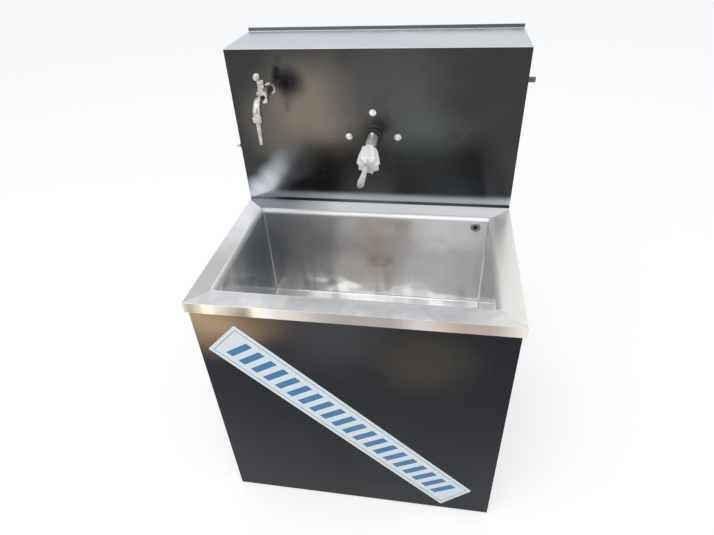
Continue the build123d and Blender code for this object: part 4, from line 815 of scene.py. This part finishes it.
def buildBrush(look):
    nylon = makeNylon(nylonSet)
    shared = {"Seed": look["seed"], "Material": nylon}
    bell = bakeTree("brushBell", makeBellTree(), {**look["bell"], **shared})
    tuft = bakeTree("brushTuft", makeTuftTree(), {**look["tuft"], **shared})
    droop = math.radians(look["droop"])
    far = Vector(look["bend"]) + look["wireEnd"] * Vector((0.0, -math.cos(droop), -math.sin(droop)))
    path = bpy.data.meshes.new("wirePath")
    path.from_pydata([look["grip"], look["bend"], far], [(0, 1), (1, 2)], [])
    wire = bakeTree("brushWire", makeWireTree(), {**look["wire"], "Material": made["machinedSteel"]}, path)
    for piece in (bell, tuft):
        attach(piece, "spindle")
        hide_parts("brush_bristles")
    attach(wire, "spindle")
    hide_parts("brush_stem")


buildBrush(brushSet)
print("brush made")

# inlet: a screw thread round the nipple's outer end, sizes in metres
threadSet = {
    "start": (0.3812, 0.19265, 1.066), "stepsPerTurn": 28, "sides": 4,
    "marks": {"Turns": 11.5, "Radius": 0.00648, "Pitch": 0.001337, "Ridge": 0.00042},
}


def makeThreadTree():
    tree, given, result = startGroup(
        "screwThread", "GeometryNodeTree",
        {
            **floatSockets({"Turns": 10.0, "Radius": 0.006, "Pitch": 0.0013, "Ridge": 0.0004}),
            "Material": ("NodeSocketMaterial", None),
        },
        {"Geometry": "NodeSocketGeometry"},
    )
    helix = addNode(
        tree, "GeometryNodeCurveSpiral",
        {
            "Resolution": threadSet["stepsPerTurn"],
            "Rotations": given.outputs["Turns"],
            "Start Radius": given.outputs["Radius"],
            "End Radius": given.outputs["Radius"],
            "Height": times(tree, given.outputs["Turns"], given.outputs["Pitch"]),
        },
    )
    endTree(tree, given, result, sweep(tree, helix.outputs[0], threadSet["sides"], given.outputs["Ridge"]))
    return tree


def buildThread(look):
    thread = bakeTree("inletThread", makeThreadTree(), {**look["marks"], "Material": made["inletSteel"]})
    turn = Matrix.Rotation(math.radians(90.0), 4, "Y")
    thread.data.transform(Matrix.Translation(look["start"]) @ turn)
    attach(thread, "chassis")


buildThread(threadSet)
print("inlet thread made")

# sign: a vinyl strip set slantwise on the front panel, with a border and plain bars, sizes in metres
signSet = {
    "centre": (-0.015, -0.33685, 0.3455), "slant": 44.0, "length": 0.81, "width": 0.115, "thick": 0.0004,
    "corner": 0.003, "cornerSteps": 4, "ink": 0.00006,
    "marks": {
        "Bars": 20, "Pitch": 0.037, "Bar size": (0.019, 0.00006, 0.064), "Shear": 0.26,
        "Border length": 0.79, "Border width": 0.095, "Line": 0.0022,
    },
}


def placeSign(look, lift):
    spot = Vector(look["centre"]) - Vector((0.0, lift, 0.0))
    return Matrix.Translation(spot) @ Matrix.Rotation(math.radians(look["slant"]), 4, "Y")


def makeMarkTree():
    tree, given, result = startGroup(
        "signMarks", "GeometryNodeTree",
        {
            "Bars": ("NodeSocketInt", 10), "Pitch": ("NodeSocketFloat", 0.05),
            "Bar size": ("NodeSocketVector", (0.02, 0.0001, 0.05)),
            **floatSockets({"Shear": 0.2, "Border length": 0.5, "Border width": 0.1, "Line": 0.002}),
            "Material": ("NodeSocketMaterial", None),
        },
        {"Geometry": "NodeSocketGeometry"},
    )
    count, pitch = given.outputs["Bars"], given.outputs["Pitch"]
    bar = addNode(tree, "GeometryNodeMeshCube", {"Size": given.outputs["Bar size"]})
    height = heightOf(tree, tree.nodes.new("GeometryNodeInputPosition").outputs[0])
    lean = addNode(tree, "ShaderNodeCombineXYZ", {0: times(tree, height, given.outputs["Shear"])})
    slanted = addNode(
        tree, "GeometryNodeSetPosition", {"Geometry": bar.outputs[0], "Offset": lean.outputs[0]}
    )
    half = times(tree, mathNode(tree, "SUBTRACT", count, 1.0), -0.5)
    first = addNode(tree, "ShaderNodeCombineXYZ", {0: times(tree, half, pitch)})
    step = addNode(tree, "ShaderNodeCombineXYZ", {0: pitch})
    row = addNode(
        tree, "GeometryNodeMeshLine",
        {"Count": count, "Start Location": first.outputs[0], "Offset": step.outputs[0]}, mode="OFFSET",
    )
    bars = addNode(
        tree, "GeometryNodeInstanceOnPoints", {"Points": row.outputs[0], "Instance": slanted.outputs[0]}
    )
    outline = addNode(
        tree, "GeometryNodeCurvePrimitiveQuadrilateral",
        {"Width": given.outputs["Border length"], "Height": given.outputs["Border width"]},
    )
    upright = addNode(
        tree, "GeometryNodeTransform",
        {"Geometry": outline.outputs[0], "Rotation": (math.radians(90.0), 0.0, 0.0)},
    )
    section = addNode(
        tree, "GeometryNodeCurvePrimitiveQuadrilateral",
        {"Width": signSet["ink"], "Height": given.outputs["Line"]},
    )
    border = addNode(
        tree, "GeometryNodeCurveToMesh", {"Curve": upright.outputs[0], "Profile Curve": section.outputs[0]}
    )
    both = tree.nodes.new("GeometryNodeJoinGeometry")
    for marks in (bars, border):
        tree.links.new(marks.outputs[0], both.inputs[0])
    endTree(tree, given, result, both.outputs[0])
    return tree


def buildSign(look):
    thick = look["thick"]
    sheet = bmesh.new()
    bmesh.ops.create_cube(sheet, size=1.0)
    bmesh.ops.scale(sheet, vec=(look["length"], thick, look["width"]), verts=sheet.verts)
    corners = [edge for edge in sheet.edges if abs(edge.verts[0].co.y - edge.verts[1].co.y) > thick / 2]
    bmesh.ops.bevel(
        sheet, geom=corners, offset=look["corner"], segments=look["cornerSteps"], affect="EDGES", profile=0.5
    )
    sheet.transform(placeSign(look, thick / 2))
    mesh = bpy.data.meshes.new("signSheet")
    sheet.to_mesh(mesh)
    sheet.free()
    mesh.materials.append(made["signVinyl"])
    strip = bpy.data.objects.new("signSheet", mesh)
    scene.collection.objects.link(strip)
    marks = bakeTree("signMarks", makeMarkTree(), {**look["marks"], "Material": made["signInk"]})
    marks.data.transform(placeSign(look, thick + look["ink"] / 2))
    for piece in (strip, marks):
        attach(piece, "chassis")


buildSign(signSet)
print("sign made")

# stage: pale floor, soft lamps (place, size, power) and a pale world that dims towards the horizon
stageSet = {
    "floorSize": 40.0, "floorTone": (0.6, 0.6, 0.6), "floorGlow": 0.55, "floorRough": 0.9, "floorShine": 0.1,
    "worldTone": (0.95, 0.97, 1.0), "worldLight": 0.62, "dome": (0.0, 0.7), "domeLight": (0.8, 0.95),
    "lamps": {
        "keyLamp": ((-1.9, -2.3, 3.0), 4.2, 46.0),
        "fillLamp": ((2.6, -1.6, 2.4), 3.6, 16.0),
        "topLamp": ((0.2, -0.5, 3.4), 3.6, 14.0),
    },
    "aim": (0.0, 0.0, 0.75),
}


def seenRays(tree):
    rays = tree.nodes.new("ShaderNodeLightPath")
    seen = mathNode(tree, "MAXIMUM", rays.outputs["Is Camera Ray"], rays.outputs["Is Glossy Ray"])
    return mathNode(tree, "MAXIMUM", seen, rays.outputs["Is Transmission Ray"])


def layFloor(look):
    mesh = bpy.data.meshes.new("floor")
    half = look["floorSize"] / 2
    corners = [(-half, -half, 0), (half, -half, 0), (half, half, 0), (-half, half, 0)]
    mesh.from_pydata(corners, [], [(0, 1, 2, 3)])
    floor = bpy.data.objects.new("floor", mesh)
    scene.collection.objects.link(floor)
    paint = bpy.data.materials.new("floorPaint")
    paint.use_nodes = True
    tree = paint.node_tree
    shader = tree.nodes["Principled BSDF"]
    shader.inputs["Base Color"].default_value = opaque(look["floorTone"])
    shader.inputs["Roughness"].default_value = look["floorRough"]
    shader.inputs["Specular IOR Level"].default_value = look["floorShine"]
    shader.inputs["Emission Strength"].default_value = 1.0
    tree.links.new(times(tree, seenRays(tree), look["floorGlow"]), shader.inputs["Emission Color"])
    mesh.materials.append(paint)


def hangWorld(look):
    world = bpy.data.worlds.new("studio")
    world.use_nodes = True
    scene.world = world
    tree = world.node_tree
    sky = tree.nodes["Background"]
    sky.inputs["Color"].default_value = opaque(look["worldTone"])
    height = heightOf(tree, tree.nodes.new("ShaderNodeTexCoord").outputs["Generated"])
    dome = rangeNode(tree, height, look["dome"], look["domeLight"])
    level = addNode(tree, "ShaderNodeMix", {"Factor": seenRays(tree), 2: look["worldLight"], 3: dome})
    tree.links.new(level.outputs[0], sky.inputs["Strength"])


def placeLamps(look):
    for name, (place, size, power) in look["lamps"].items():
        lamp = bpy.data.objects.new(name, bpy.data.lights.new(name, "AREA"))
        lamp.data.shape = "SQUARE"
        lamp.data.size = size
        lamp.data.energy = power
        lamp.location = place
        lamp.rotation_euler = (Vector(look["aim"]) - Vector(place)).to_track_quat("-Z", "Y").to_euler()
        scene.collection.objects.link(lamp)


layFloor(stageSet)
hangWorld(stageSet)
placeLamps(stageSet)
print("stage lit")
